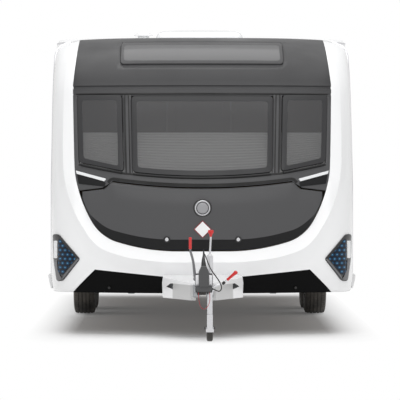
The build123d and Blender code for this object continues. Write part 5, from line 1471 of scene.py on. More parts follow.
# %% Alloy wheels
CAP_PROFILE = mm(((0, 0), (0, 49), (14, 49), (18, 46), (20, 40), (18, 34), (20, 30), (21.5, 15), (22, 0)))
LIP_PROFILE = mm(((0, 181), (0, 188.5), (4.5, 188.5), (6, 187), (6, 184), (4, 181.5), (0, 181)))
HEX_PROFILE = mm(((-4, 0), (-4, 10.5), (8, 10.5), (10.5, 8.5), (10.5, 0)))
VALVE_PROFILE = mm(((-20, 0), (-20, 4), (20, 4), (22, 3), (22, 0)))
BOLTS, BOLT_CIRCLE = 5, 0.066
for title, side, centre in wheel_places():
    softened(f"rim_{title}", 0.0022, wheel_silver, "wheel_alloy", f"wheel_{title}", segments=3)
    axis = (side, 0.0, 0.0)
    face = centre + (side * 0.033, 0, 0)
    details = [
        turned(CAP_PROFILE, face + (side * 0.002, 0, 0), axis, 40),
        turned(LIP_PROFILE, centre + (side * 0.079, 0, 0), axis, 96),
    ]
    build(f"wheel_cap_{title}", details, wheel_silver, "wheel_alloy", f"wheel_{title}", smooth=30)
    bolts = []
    for angle in np.arange(BOLTS) * 2 * np.pi / BOLTS:
        place = centre + (side * 0.041, BOLT_CIRCLE * np.sin(angle), BOLT_CIRCLE * np.cos(angle))
        bolts.append(turned(HEX_PROFILE, place, axis, 6))
    bolts.append(turned(VALVE_PROFILE, centre + (side * 0.055, 0.0, 0.158), axis, 16))
    build(f"wheel_bolts_{title}", bolts, *ZINC_PARTS, f"wheel_{title}", smooth=25)
print("alloy wheels done")

# %% [markdown]
# ## Towing gear
# The stabiliser coupling is a dark casting with bright friction covers at its sides and black pads under it.
# Behind it are the rubber bellows, the handbrake lever with its ratchet, and the jockey wheel's red grips.

# %% Coupling head
HEAD_Y = -3.79
CHEEK_Z = 0.488
CHEEK_PROFILE = mm(((34, 0), (34, 47), (46, 47), (54, 46), (59, 43.8), (62.2, 40), (63.8, 31), (64.2, 0)))
KNOB_PROFILE = mm(((0, 0), (0, 11), (10, 12), (13, 10), (13.5, 0)))
PAD_PROFILE = mm(((-20, 0), (-20, 21), (-12, 24), (8, 24), (14, 22), (14, 0)))
UP = (0.0, 0.0, 1.0)
covers, pads, knobs, head_bolts = [], [], [], []
for side, _ in SIDES:
    covers.append(turned(CHEEK_PROFILE, (0.0, HEAD_Y, CHEEK_Z), (side, 0, 0), 40))
    knobs.append(turned(KNOB_PROFILE, (side * 0.049, HEAD_Y, 0.53), UP, 20))
    pads += [turned(PAD_PROFILE, (side * 0.038, y, 0.424), UP, 20) for y in (-3.815, -3.765, -3.7)]
    for y, z in ((-3.70, 0.52), (-3.69, 0.475)):
        head_bolts.append(turned(HEX_PROFILE, (side * 0.0372, y, z), (side, 0, 0), 6))
cast_alloy = rippled("cast_alloy", srgb(0.86, 0.86, 0.87), 0.35, 200.0, 0.0003, Coat_Weight=0.4)
build("friction_covers", covers, cast_alloy, "zinc_steel", smooth=30)
build("coupling_knobs", knobs, *BLACK_PARTS)
build("coupling_pads", pads, spring_black, "black_rubber")


def refined(points, count):
    """Polyline sampled at that many places, evenly by its own points' numbers."""
    points = np.asarray(points, float)
    at = np.linspace(0, len(points) - 1, count)
    return np.column_stack([np.interp(at, np.arange(len(points)), column) for column in points.T])


LEVER_LINE = ((0, -3.70, 0.575), (0, -3.682, 0.608), (0, -3.655, 0.638), (0, -3.62, 0.672), (0, -3.59, 0.708))
lever_taper = np.interp(np.arange(25), [0, 6, 14, 22, 24], [0.022, 0.017, 0.009, 0.0055, 0.0035])
coupling_lever = pipe(refined(LEVER_LINE, 25), lever_taper, side=(1, 0, 0), count=20)
build("coupling_lever", [coupling_lever], *BLACK_PARTS)
build("head_bolts", head_bolts, *ZINC_PARTS, smooth=25)
print("coupling head dressed")

# %% Bellows
RIBS = 7
BELLOW_ENDS = (-3.5595, -3.4605)
BELLOW_BORE = 0.0255
bellow_y = np.linspace(*BELLOW_ENDS, 12 * RIBS + 1)
bellow_r = 0.036 + 0.0052 * np.cos((bellow_y - bellow_y[0]) / (bellow_y[-1] - bellow_y[0]) * 2 * np.pi * RIBS)
front_rim, back_rim = [(BELLOW_ENDS[0], BELLOW_BORE)], [(BELLOW_ENDS[1], BELLOW_BORE)]
bellow_profile = np.vstack([front_rim, np.column_stack([bellow_y, bellow_r]), back_rim, front_rim])
bellow = turned(bellow_profile, (0, 0, 0.472), (0, 1, 0), 48)
bellows = build("bellows_ribbed", [bellow], spring_black, "black_rubber", smooth=60)
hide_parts("drawbar_bellows")

# %% Handbrake lever
LEVER_Y, PIVOT_Z = -3.255, 0.48
BAR_LINE = (
    (-0.061, PIVOT_Z), (-0.0655, 0.52), (-0.07, 0.56), (-0.0745, 0.6), (-0.081, 0.634), (-0.0915, 0.668),
    (-0.0975, 0.69), (-0.098, 0.71),
)
PIVOT_PROFILE = mm(((-9, 0), (-9, 15.5), (7, 15.5), (9, 13.5), (9, 8), (13.5, 8), (15, 6.5), (15, 0)))
bar = refined(BAR_LINE, 43)
kernel = np.ones(5) / 5
bar[2:-2] = np.column_stack([np.convolve(column, kernel, "valid") for column in bar.T])
bar = np.column_stack([bar[:, 0], np.full(len(bar), LEVER_Y), bar[:, 1]])
pivot = turned(PIVOT_PROFILE, (BAR_LINE[0][0], LEVER_Y, PIVOT_Z), (-1, 0, 0), 28)
lever_bar = pipe(bar, np.linspace(0.0112, 0.0076, len(bar)), side=(0, 1, 0), count=20)
brake_bar = build("brake_lever_bar", [lever_bar, pivot], lever_steel, "zinc_steel")
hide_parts("handbrake_lever")
TEETH = 14
RATCHET_X = (-0.0525, -0.0565)
sector = np.radians(np.linspace(20, 130, 4 * TEETH + 1))
tooth = np.where(np.arange(len(sector)) % 4 < 2, 0.052, 0.047)
root_radius = np.full(len(sector), 0.02)
ratchet_rows = [
    np.column_stack([np.full(len(sector), x), LEVER_Y + radius * np.cos(sector), PIVOT_Z + radius * np.sin(sector)])
    for radius, x in zip((root_radius, tooth, tooth, root_radius), np.repeat(RATCHET_X, 2))
]
ratchet = capped(np.stack(ratchet_rows, axis=1))
build("brake_ratchet", [ratchet], *ZINC_PARTS, smooth=20)

# %% Red grips
JOCKEY_Y = -3.18
BULGES = 6
ridge = np.linspace(0.006, 0.082, 39)
grip_profile = [(0.0, 0.0), (0.0, 0.0095), (0.003, 0.0112)]
grip_profile += [(z, 0.0113 + 0.0006 * np.cos((z - 0.006) / 0.076 * 2 * np.pi * BULGES)) for z in ridge]
grip_profile += [(0.086, 0.0108), (0.089, 0.008), (0.09, 0.0)]
CRANK_KNOB = mm((
    (0, 0), (0, 8.2), (6, 9.5), (16, 11.5), (24, 15.5), (29, 20.5), (32, 22), (46, 22), (50.5, 20), (52, 14),
    (52, 0),
))
handle_foot, handle_tip = np.array([0.154, JOCKEY_Y, 0.446]), np.array([0.255, JOCKEY_Y, 0.533])
handle_way = handle_tip - handle_foot
handle_run = float(np.linalg.norm(handle_way))
BALL_RADIUS = 0.012
clamp_profile = [(0.034, 0.0), (0.034, 0.0088), (0.038, 0.0105)]
clamp_profile += [(handle_run - 0.034, 0.0115), (handle_run - 0.026, 0.0135)]
clamp_profile += [
    (handle_run - BALL_RADIUS + BALL_RADIUS * np.sin(a), 0.0035 + BALL_RADIUS * np.cos(a))
    for a in np.linspace(-0.6, 1.2, 8)
]
clamp_profile += [(handle_run, 0.0)]
COLLAR_PROFILE = mm(((-14, 0), (-14, 8.8), (-8, 11.2), (8, 11.2), (13, 8.5), (13, 0)))
ROD_PROFILE = mm(((5, 0), (5, 5.5), (45, 5.5), (45, 0)))
brake_grip, *_ = [
    build(name, [turned(profile, place, axis, 28)], *RED_GRIPS, smooth=50)
    for name, profile, place, axis in (
        ("brake_grip", grip_profile, (BAR_LINE[-1][0], LEVER_Y, 0.704), UP),
        ("crank_knob", CRANK_KNOB, (0.057, JOCKEY_Y, 0.794), UP),
        ("clamp_knob", clamp_profile, handle_foot, handle_way),
    )
]
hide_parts("hand_grips")
collar = turned(COLLAR_PROFILE, handle_foot, handle_way, 24)
build("clamp_collar", [collar], *BLACK_PARTS)
build("clamp_rod", [turned(ROD_PROFILE, handle_foot, handle_way, 20)], *ZINC_PARTS)

# %% Jockey wheel and its crank
CRANK_LINE = ((0.05, 0.651), (0.0505, 0.664), (0.053, 0.72), (0.0565, 0.78), (0.057, 0.7945))
CRANK_BASE = mm(((0, 0), (0, 19.5), (4, 19.5), (6.5, 17), (8, 12.5), (13.5, 11.5), (14, 0)))
crank_bar = pipe([(x, JOCKEY_Y, z) for x, z in CRANK_LINE], 0.0075, side=(0, 1, 0), count=20)
crank_base = turned(CRANK_BASE, (0.05, JOCKEY_Y, 0.6503), UP, 32)
crank = build("jockey_crank_bar", [crank_bar, crank_base], *ZINC_PARTS)
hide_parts("jockey_crank")

ROLLER_CENTRE = np.array([0.05, -3.095, 0.1])
ROLLER_SIDE = mm(((0, 15.5), (0, 40), (4, 50), (6.5, 66), (0.8, 76), (0, 88), (3, 95.5), (9, 99.5)))
ROLLER_WIDTH = 0.046
roller_tread = [(x, 0.1 if k % 2 else 0.0985) for k, x in enumerate(np.linspace(0.011, 0.035, 9))]
far_side = [(ROLLER_WIDTH - x, r) for x, r in ROLLER_SIDE[::-1]]
roller_profile = np.array([*ROLLER_SIDE, *roller_tread, *far_side, ROLLER_SIDE[0]]) - (ROLLER_WIDTH / 2, 0.0)
roller = turned(roller_profile, ROLLER_CENTRE, (1, 0, 0), 72)
roller_tyre = build("jockey_roller_tyre", [roller], roller_rubber, "black_rubber", "jockey_roller", smooth=40)
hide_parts("jockey_wheel")
HUB_PROFILE = mm((
    (-22.8, 8.4), (-22.8, 16), (-14.5, 19), (-14.5, 41), (14.5, 41), (14.5, 19), (22.8, 16), (22.8, 8.4),
    (-22.8, 8.4),
))
hub = turned(HUB_PROFILE, ROLLER_CENTRE, (1, 0, 0), 40)
build("jockey_hub", [hub], facet_grey, "black_rubber", "jockey_roller", smooth=30)
fork_nuts = [turned(HEX_PROFILE, ROLLER_CENTRE + (side * 0.0298, 0, 0), (side, 0, 0), 6) for side, _ in SIDES]
build("fork_nuts", fork_nuts, black_moulding, "zinc_steel", "jockey_caster", smooth=25)

# the cover's nose closes round the drawbar with a narrow return on each side
RETURN_PLAN = ((0.056, -3.104), (0.097, -3.104), (0.097, -3.1075), (0.0555, -3.11), (0.0545, -3.106))
returns = []
for side, _ in SIDES:
    plan = np.array(RETURN_PLAN) * (side, 1)
    rows = [np.column_stack([plan, np.full(len(plan), z)]) for z in (0.3105, 0.35, 0.424, 0.427, 0.4395)]
    returns.append(capped(np.stack(rows)))
build("cover_returns", returns, cover_gelcoat_shaded, "white_moulding", smooth=30)
print("towing gear dressed")

# %% [markdown]
# ## Sides and rear
# The walls and the rear are laid out like the nose: a place is two numbers on the face and a distance proud
# of it. Windows sit in rubber seals, doors have a gasket, a handle and locks, and rails cover the joints.

# %% Faces of the side walls and the rear
REAR_FACE = 3.85
REAR_ARC = 0.12
REAR_SETBACK = np.array([0.05, 0.01, 0, 0, 0, 0.01, 0.05, 0.06, 0.1, 0.15, 0.2, 0.26, 0.5, 1.4])


def wall_x(height):
    """Half width of the body at a height, where the side walls stand."""
    return HALF_WIDTH - monotone(height, SECTION_HEIGHT, SECTION_NARROWER)


def on_wall(side):
    """Places on one side wall by Y and height; side is 1 near or -1 far."""
    def place(y, height, proud):
        """One place, standing proud of the wall."""
        y, height, proud = common(y, height, proud)
        return np.stack([side * (wall_x(height) + proud), y, height], axis=-1)
    return place


def on_rear(x, height, proud):
    """Place on the rear by X and height; past the flat it follows the corner arc."""
    x, height, proud = common(x, height, proud)
    lean = np.clip((np.abs(x) - wall_x(height) + REAR_ARC) / REAR_ARC, 0.0, 0.999)
    level = np.sqrt(1 - lean**2)
    rear = REAR_FACE - monotone(height, SECTION_HEIGHT, REAR_SETBACK) - REAR_ARC * (1 - level)
    return np.stack([x + np.sign(x) * lean * proud, rear + level * proud, height], axis=-1)


def rectangle(middle, size):
    """Corners of an upright rectangle."""
    (a, b), (w, h) = middle, size
    return [(a - w / 2, b - h / 2), (a + w / 2, b - h / 2), (a + w / 2, b + h / 2), (a - w / 2, b + h / 2)]


NEAR, FAR = on_wall(1), on_wall(-1)
SEAL_RINGS = (
    (1, -0.014, -0.006), (1, -0.014, 0.003), (1, -0.011, 0.0055), (1, 0.001, 0.006), (1, 0.004, 0.004),
    (1, 0.004, -0.02), (1, -0.014, -0.006),
)


def seal(name, place, corners, radius, body="root"):
    """Rubber seal round an opening."""
    outline = rounded_outline(corners, radius, 0.03)
    return build(name, [skin_patch(outline, SEAL_RINGS, place)], *SEALS, body)


def fittings(place, rows, body="root"):
    """Raised plates on one face; each row is name, middle, size, corner radius, rise, finish and slot."""
    for name, middle, size, radius, rise, material, slot in rows:
        solid_patch(name, rectangle(middle, size), radius, rise, material, slot, body=body, place=place)


# %% Side windows
WINDOW_Z, WINDOW_HEIGHT = 1.55, 0.62
PANE_MARGIN = 0.008  # how much smaller a pane is than its opening
SIDE_WINDOWS = (
    ("near_front", NEAR, -1.12, 0.76), ("near_middle", NEAR, 1.2, 0.9), ("near_rear", NEAR, 2.8, 0.8),
    ("far_front", FAR, -1.12, 0.76), ("far_middle", FAR, 0.4, 0.9), ("far_rear", FAR, 2.8, 0.8),
)
side_glass = []
for word, place, y, length in SIDE_WINDOWS:
    seal(f"seal_{word}", place, rectangle((y, WINDOW_Z), (length, WINDOW_HEIGHT)), 0.06)
    glass = rectangle((y, WINDOW_Z), (length - PANE_MARGIN, WINDOW_HEIGHT - PANE_MARGIN))
    side_glass += pane(f"pane_{word}", glass, 0.056, 0.04, 0.008, place)
    rail = rectangle((y, WINDOW_Z + WINDOW_HEIGHT / 2 + 0.012), (length - 0.05, 0.022))
    solid_patch(f"hinge_rail_{word}", rail, 0.006, 0.011, *BLACK_PARTS, place=place)
    cassette = rectangle((y, WINDOW_Z + 0.27), (length + 0.06, 0.09))
    solid_patch(
        f"blind_case_{word}", cassette, 0.012, 0.03, white_sheet, "white_wall", depth=0.0, base=-0.062, place=place
    )
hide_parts("side_windows")
print("side windows:", len(side_glass) // 2)

# %% Entrance door
DOOR_Y, DOOR_Z, DOOR_SIZE = -0.325, 1.31, (0.65, 1.68)
LIGHT_Z = 1.65
HANDLE_Y, HANDLE_Z = -0.085, 1.12
AWNING_Z = 2.2
softened("entrance_door", 0.003, white_sheet, "white_wall", "door")
seal("door_light_seal", NEAR, rectangle((DOOR_Y, LIGHT_Z), (0.33, 0.6)), 0.04, "door")
door_glass = pane("door_pane", rectangle((DOOR_Y, LIGHT_Z), (0.322, 0.592)), 0.036, 0.03, 0.008, NEAR, "door")
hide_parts("door_window")
fittings(NEAR, (
    ("door_handle_plate", (HANDLE_Y, HANDLE_Z), (0.11, 0.17), 0.02, 0.005, *BLACK_PARTS),
    ("door_handle_cup", (HANDLE_Y, HANDLE_Z + 0.01), (0.08, 0.1), 0.02, 0.0065, panel_black, "black_plastic"),
    ("door_handle_flap", (-0.093, HANDLE_Z + 0.012), (0.06, 0.06), 0.012, 0.013, black_gloss, "black_plastic"),
), "door")
DOOR_LOCK = mm(((-6, 0), (-6, 12), (4, 12), (6.5, 10.5), (6.5, 4), (4.5, 3.5), (4.5, 0)))
door_lock = turned(DOOR_LOCK, (1.203, HANDLE_Y, HANDLE_Z - 0.06), (1, 0, 0), 28)
build("door_lock", [door_lock], *CHROME_PARTS, "door")
fittings(NEAR, [
    (f"door_line_{word}", (DOOR_Y, z), (0.5, 0.012), 0.005, 0.0025, white_gelcoat, "white_wall")
    for word, z in (("low", 0.86), ("high", 1.245))
], "door")
fittings(NEAR, (
    ("door_sill", (DOOR_Y, 0.455), (0.66, 0.024), 0.004, 0.006, *CHROME_PARTS),
    ("awning_lamp_case", (DOOR_Y, AWNING_Z), (0.36, 0.045), 0.012, 0.016, *WHITE_PARTS),
    ("awning_lamp_lens", (DOOR_Y, AWNING_Z), (0.32, 0.026), 0.01, 0.019, frost_acrylic, "frosted_acrylic"),
))
GRAB_Y = 0.06
GRAB_LINE = ((1.2, 1.0), (1.214, 1.008), (1.222, 1.03), (1.222, 1.2), (1.222, 1.37), (1.214, 1.392), (1.2, 1.4))
grab_line = resample([(x, GRAB_Y, z) for x, z in GRAB_LINE], 0.01)
grab_handle = pipe(grab_line, 0.0075, side=(0, 1, 0), count=20)
build("grab_handle", [grab_handle], *CHROME_PARTS)


# %% Hatches in the walls
GAP_RINGS = (
    (1, 0.0, -0.028), (1, 0.0, -0.018), (1, 0.0012, -0.017), (1, 0.0024, -0.018), (1, 0.0024, -0.028),
    (1, 0.0, -0.028),
)
for name, place, middle, size, radius in (  # a dark strip set back in the running gap round each door
    ("door_gasket", NEAR, (DOOR_Y, DOOR_Z), DOOR_SIZE, 0.06),
    ("locker_gasket", NEAR, (-1.56, 0.69), (0.5, 0.32), 0.03),
    ("service_gasket", FAR, (2.775, 0.75), (0.35, 0.4), 0.03),
):
    outline = rounded_outline(rectangle(middle, size), radius, 0.03)
    build(name, [skin_patch(outline, GAP_RINGS, place)], *SEALS)
softened("locker_door", 0.003, white_sheet, "white_wall", "locker_flap")
softened("service_door", 0.003, white_sheet, "white_wall", "service_flap")
LATCH_PROFILE = mm(((-5, 0), (-5, 20), (3, 20), (5, 18), (5, 13.5), (9, 12), (9.5, 10.5), (9.5, 0)))
for name, side, body, places in (
    ("locker_latches", 1, "locker_flap", [(-1.72, 0.585), (-1.40, 0.585)]),
    ("service_latches", -1, "service_flap", [(2.895, 0.64), (2.895, 0.86)]),
):
    latches = [turned(LATCH_PROFILE, (side * 1.201, y, z), (side, 0, 0), 32) for y, z in places]
    build(name, latches, *BLACK_PARTS, body)

# %% Vents, sockets and lamps on the walls
VENT_Y, VENT_SIZE = 1.62, (0.42, 0.21)
VENT_RINGS = (
    (1, 0.0, -0.004), (1, 0.0, 0.008), (1, 0.003, 0.012), (1, 0.016, 0.012), (1, 0.02, 0.009), (1, 0.02, -0.004),
    (1, 0.0, -0.004),
)
SLAT_SECTION = mm(((-8, 1), (-6.5, 0.5), (7, 8.5), (8.5, 10.5), (7.5, 11), (-8.5, 3)))
LOUVRES, LOUVRE_PITCH = 9, 0.0185
for word, z in (("low", 0.86), ("high", 1.72)):
    vent_outline = rounded_outline(rectangle((VENT_Y, z), VENT_SIZE), 0.02, 0.03)
    vent_frame = skin_patch(vent_outline, VENT_RINGS, FAR)
    build(f"vent_frame_{word}", [vent_frame], *WHITE_PARTS)
    fittings(FAR, [(f"vent_back_{word}", (VENT_Y, z), (0.385, 0.175), 0.01, 0.0015, panel_black, "black_plastic")])
    slats = []
    for k in range(LOUVRES):
        slat_z = z + (k - (LOUVRES - 1) / 2) * LOUVRE_PITCH
        path = [(-1.2, VENT_Y + d, slat_z) for d in (-0.19, 0.0, 0.19)]
        slats.append(strip(np.array(path), (0, 0, -1), (-1, 0, 0), SLAT_SECTION))
    build(f"vent_slats_{word}", slats, *WHITE_PARTS, smooth=25)
for word, place, y, z, (wide, tall) in (
    ("mains_flap", FAR, -0.35, 0.86, (0.16, 0.18)), ("awning_socket_flap", NEAR, 0.42, 0.86, (0.14, 0.15)),
    ("water_inlet", FAR, 2.24, 0.6, (0.13, 0.13)), ("flue_cowl", FAR, 1.22, 0.9, (0.14, 0.14)),
):
    catch_at = (y, z - tall / 2 + 0.024)
    fittings(place, (
        (f"{word}_frame", (y, z), (wide, tall), 0.02, 0.006, *WHITE_PARTS),
        (f"{word}_lid", (y, z), (wide - 0.03, tall - 0.03), 0.014, 0.012, white_sheet, "white_moulding"),
        (f"{word}_catch", catch_at, (0.03, 0.01), 0.004, 0.014, *BLACK_PARTS),
    ))
amber_lens = rippled(
    "amber_lens", srgb(0.95, 0.5, 0.08), 0.18, 160.0, 0.0008, Coat_Weight=0.5, Transmission_Weight=0.1
)
for word, place in (("near", NEAR), ("far", FAR)):
    fittings(place, [
        (f"marker_{word}_{k}", (y, 0.497), (0.085, 0.03), 0.008, 0.007, amber_lens, "lamp_lens")
        for k, y in enumerate((-1.3, 0.25, 2.15, 3.4))
    ])
print("hatches, vents and lamps placed")

# %% Rails over the joints of the shell
RAIL_SECTION = mm(((-11, -4), (-11, 3), (-6, 4.5), (-3, 9), (3, 9), (6, 4.5), (11, 3), (11, -4)))
rail_metal = brushed_metal("rail_metal", srgb(0.87, 0.87, 0.88), 0.32, (40.0, 900.0, 900.0), depth=0.00008)
RAILS = {
    "rear_joint_rails": [(3.67, 0.53), (3.67, 1.3), (3.67, 1.995), (3.61, 2.09), (3.44, 2.315)],
    "front_joint_rails": [(-1.88, 0.47), (-1.88, 1.15), (-1.56, 1.89), (-1.35, 2.15), (-1.215, 2.34)],
    "roof_edge_rails": [(-1.2, 2.332), (0.0, 2.332), (1.5, 2.332), (3.43, 2.332)],
}
for name, points in RAILS.items():
    line = resample(points, 0.04)
    rails = []
    for side, _ in SIDES:
        arc = side * side_arc(line[:, 0], line[:, 1])
        base, outward = on_skin(arc, line[:, 1]), skin_normal(arc, line[:, 1])
        rails.append(strip(base, unit(np.cross(unit(np.gradient(base, axis=0)), outward)), outward, RAIL_SECTION))
    build(name, rails, rail_metal, "zinc_steel", smooth=40)

# %% Trims of the wheel arches
ARCH_RADIUS, ARCH_MIDDLE, AXLE_SUM = 0.158, (0.55, 0.54), 2.38
TRIM_SECTION = mm(((-12, -6), (-12, 4), (-7, 8), (6, 8), (11, 3), (11, -6)))
arch_turn = np.linspace(0.0, np.pi / 2, 9)
arch_bend = np.array(ARCH_MIDDLE) + ARCH_RADIUS * np.column_stack([-np.cos(arch_turn), np.sin(arch_turn)])
arch_half = np.vstack([[(ARCH_MIDDLE[0] - ARCH_RADIUS, 0.464)], arch_bend])
arch_line = resample(np.vstack([arch_half, arch_half[::-1] * (-1, 1) + (AXLE_SUM, 0.0)]), 0.03)
trims = []
for place, side in ((NEAR, 1), (FAR, -1)):
    base, outward = place(arch_line[:, 0], arch_line[:, 1], 0.0), (float(side), 0.0, 0.0)
    trims.append(strip(base, unit(np.cross(unit(np.gradient(base, axis=0)), outward)), outward, TRIM_SECTION))
build("arch_trims", trims, *BLACK_PARTS, smooth=40)

# %% Rear window, lamps and blank plate
REAR_WINDOW_Z = 1.56
seal("rear_window_seal", on_rear, rectangle((0.0, REAR_WINDOW_Z), (1.24, 0.6)), 0.06)
rear_glass = pane("rear_pane", rectangle((0.0, REAR_WINDOW_Z), (1.232, 0.592)), 0.056, 0.045, 0.008, on_rear)
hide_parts("rear_window")
fittings(on_rear, [("rear_hinge_rail", (0.0, 1.876), (1.16, 0.024), 0.006, 0.011, *BLACK_PARTS)])
red_glass = rippled(
    "red_glass", srgb(0.72, 0.03, 0.04), 0.14, 160.0, 0.0008, Coat_Weight=0.6, Transmission_Weight=0.1
)
plate_yellow = rippled("plate_yellow", srgb(0.93, 0.76, 0.2), 0.35, 90.0, 0.0001, Coat_Weight=0.3)
LAMP_HOUSE = ((1.01, 0.62), (1.16, 0.62), (1.16, 1.06), (1.09, 1.06))
LAMP_LENSES = (
    ("brake", 0.885, 1.04, red_glass), ("indicator", 0.79, 0.878, amber_lens),
    ("reverse", 0.712, 0.783, frost_acrylic), ("fog", 0.638, 0.705, red_glass),
)
for side, word in SIDES:
    solid_patch(
        f"rear_lamp_house_{word}", sided(LAMP_HOUSE, side), 0.02, -0.010, black_gloss, "red_lens",
        depth=0.06, place=on_rear,
    )
    for title, low, high, material in LAMP_LENSES:
        inner_low, inner_high = (1.01 + 0.08 * (z - 0.62) / 0.44 + 0.013 for z in (low, high))
        lens = sided([(inner_low, low), (1.148, low), (1.148, high), (inner_high, high)], side)
        solid_patch(
            f"rear_{title}_{word}", lens, 0.01, 0.0095, material, "red_lens",
            depth=0.004, base=-0.0105, place=on_rear,
        )
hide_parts("rear_lamps")
solid_patch(
    "blank_plate", rectangle((0.0, 0.425), (0.52, 0.111)), 0.008, 0.003, plate_yellow, "black_plastic",
    depth=0.003, base=0.001, place=on_rear,
)
REFLECTOR = ((0.645, 0.4), (0.795, 0.4), (0.72, 0.515))
for side, word in SIDES:
    solid_patch(
        f"reflector_{word}", sided(REFLECTOR, side), 0.01, 0.003, red_glass, "red_lens",
        depth=0.003, base=0.001, place=on_rear,
    )
    solid_patch(
        f"plate_lamp_{word}", rectangle((side * 0.17, 0.496), (0.06, 0.018)), 0.005, 0.003, frost_acrylic,
        "black_plastic", depth=0.003, place=on_rear,
    )
fittings(on_rear, (
    ("brake_lamp_high", (0.0, 2.03), (0.36, 0.034), 0.012, 0.008, black_gloss, "red_lens"),
    ("brake_lamp_lens", (0.0, 2.03), (0.33, 0.02), 0.008, 0.011, red_glass, "red_lens"),
))

# %% Rooflight
ROOF_Z = 2.44
LIGHT_Y = 1.55


def on_roof(x, y, proud):
    """Place over the flat of the roof."""
    x, y, proud = common(x, y, proud)
    return np.stack([x, y, ROOF_Z + proud], axis=-1)


light_outline = rounded_outline(rectangle((0.0, LIGHT_Y), (0.818, 0.678)), 0.06, 0.03)
BASE_RINGS = (
    (1, 0.0, 0.0005), (1, 0.0, 0.02), (1, 0.004, 0.026), (1, 0.03, 0.03), (1, 0.06, 0.03), (1, 0.075, 0.012),
    (1, 0.075, 0.0005), (1, 0.0, 0.0005),
)
light_base = skin_patch(light_outline, BASE_RINGS, on_roof)
build("rooflight_base", [light_base], *WHITE_PARTS)
dome_rings = [(1, 0.022, 0.0305), (1, 0.016, 0.036), (1, 0.016, 0.046), (1, 0.022, 0.062), (1, 0.034, 0.08)]
dome_rings += [(1, 0.055, 0.094), (1, 0.085, 0.103)]
dome_rings += [(s, 0.085, 0.115 - 0.012 * s**2) for s in (0.85, 0.7, 0.5, 0.3, 0.15, 0.0)]
dome_rings += [(s, 0.09, 0.111 - 0.012 * s**2) for s in (0.15, 0.5, 0.85, 1.0)]
dome_rings += [(1, 0.04, 0.078), (1, 0.026, 0.06), (1, 0.022, 0.0305)]
dome_clear = glazing("dome_clear", srgb(0.96, 0.965, 0.97), 0.12, 12.0, 0.0006, Alpha=0.88, Coat_Weight=0.5)
dome = skin_patch(light_outline, dome_rings, on_roof)
rooflight_dome = build("rooflight_dome", [dome], dome_clear, "frosted_acrylic", smooth=50)
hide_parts("rooflight")
RIB_SECTION = mm(((-6, -2), (-5, 2), (5, 2), (6, -2)))
ribs = []
rib_x = np.linspace(-0.26, 0.26, 15)
for y in (1.36, 1.49, 1.62, 1.75):
    top = 0.1125 - 0.011 * np.maximum(np.abs(rib_x) / 0.32, abs(y - LIGHT_Y) / 0.25) ** 2
    ribs.append(strip(on_roof(rib_x, y, top), (0, 1, 0), UP, RIB_SECTION))
build("rooflight_ribs", ribs, frost_acrylic, "frosted_acrylic")
VENT_PROFILE = mm(((0.5, 0), (0.5, 75), (12, 70), (14, 50), (30, 50), (30, 82), (40, 80), (52, 60), (56, 0)))
roof_vents = [turned(VENT_PROFILE, (x, y, ROOF_Z - 0.004), UP, 36) for x, y in ((0.55, 2.55), (-0.5, 0.55))]
build("roof_vents", roof_vents, *WHITE_PARTS)
print("rooflight and vents placed")

# %% [markdown]
# ## The room inside
# The lounge's two sofas have timber plinths and stuffed cushions. Each cushion starts as a slightly small
# box, is swelled by cloth pressure so that its faces crown and its sides pull in, and then gets its piping.


# %% Cushions
VOXEL = 0.012
CLOTH_STEPS = 20


def stuffed(name, size, cap):
    """Mesh of a box cushion and its swelled shape; size is across, along, up, and cap the most it may swell."""
    mesh = bpy.data.meshes.new(name)
    work = bmesh.new()
    bmesh.ops.create_cube(work, size=1.0)
    bmesh.ops.scale(work, vec=size, verts=work.verts)
    bmesh.ops.bevel(work, geom=work.edges, offset=0.022, segments=3, affect="EDGES", profile=0.6)
    work.to_mesh(mesh)
    work.free()
    piece = new_object(name, mesh)
    remesh = piece.modifiers.new("voxels", "REMESH")
    remesh.mode = "VOXEL"
    remesh.voxel_size = VOXEL
    ready = bpy.data.meshes.new_from_object(piece.evaluated_get(bpy.context.evaluated_depsgraph_get()))
    piece.modifiers.clear()
    piece.data = ready
    rest = np.array([v.co for v in ready.vertices])
    cloth = piece.modifiers.new("swell", "CLOTH")
    cloth.settings.use_pressure = True
    cloth.settings.uniform_pressure_force = 4.0
    cloth.settings.effector_weights.gravity = 0.0
    cloth.settings.quality = 5
    cloth.collision_settings.use_collision = False
    for step in range(1, CLOTH_STEPS + 1):
        bpy.context.scene.frame_set(step)
    swelled = piece.evaluated_get(bpy.context.evaluated_depsgraph_get()).to_mesh()
    moved = np.array([v.co for v in swelled.vertices]) - rest
    far = np.linalg.norm(moved, axis=1, keepdims=True)
    shape = rest + moved * np.minimum(1.0, cap / np.maximum(far, 1e-9))
    piece.modifiers.clear()
    bpy.context.scene.frame_set(1)
    bpy.data.objects.remove(piece)
    return ready, shape


def cushion(name, source, middle, side):
    """One cushion of the lounge from a swelled shape; side is 1 near or -1 far, where it is mirrored."""
    mesh, shape = source
    placed = (shape + np.array(middle)) * (side, 1, 1)
    body_mesh = mesh.copy()
    body_mesh.name = name
    body_mesh.vertices.foreach_set("co", placed.ravel())
    body_mesh.materials.clear()
    body_mesh.materials.append(seat_cloth)
    if side < 0:
        body_mesh.flip_normals()
    body_mesh.shade_smooth()
    pad = new_object(name, body_mesh)
    smooth = pad.modifiers.new("smooth", "SUBSURF")
    smooth.levels = smooth.render_levels = 1
    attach(pad, "root")
    return pad


PIPING_RADIUS = 0.0045
PIPING_POINTS = 120


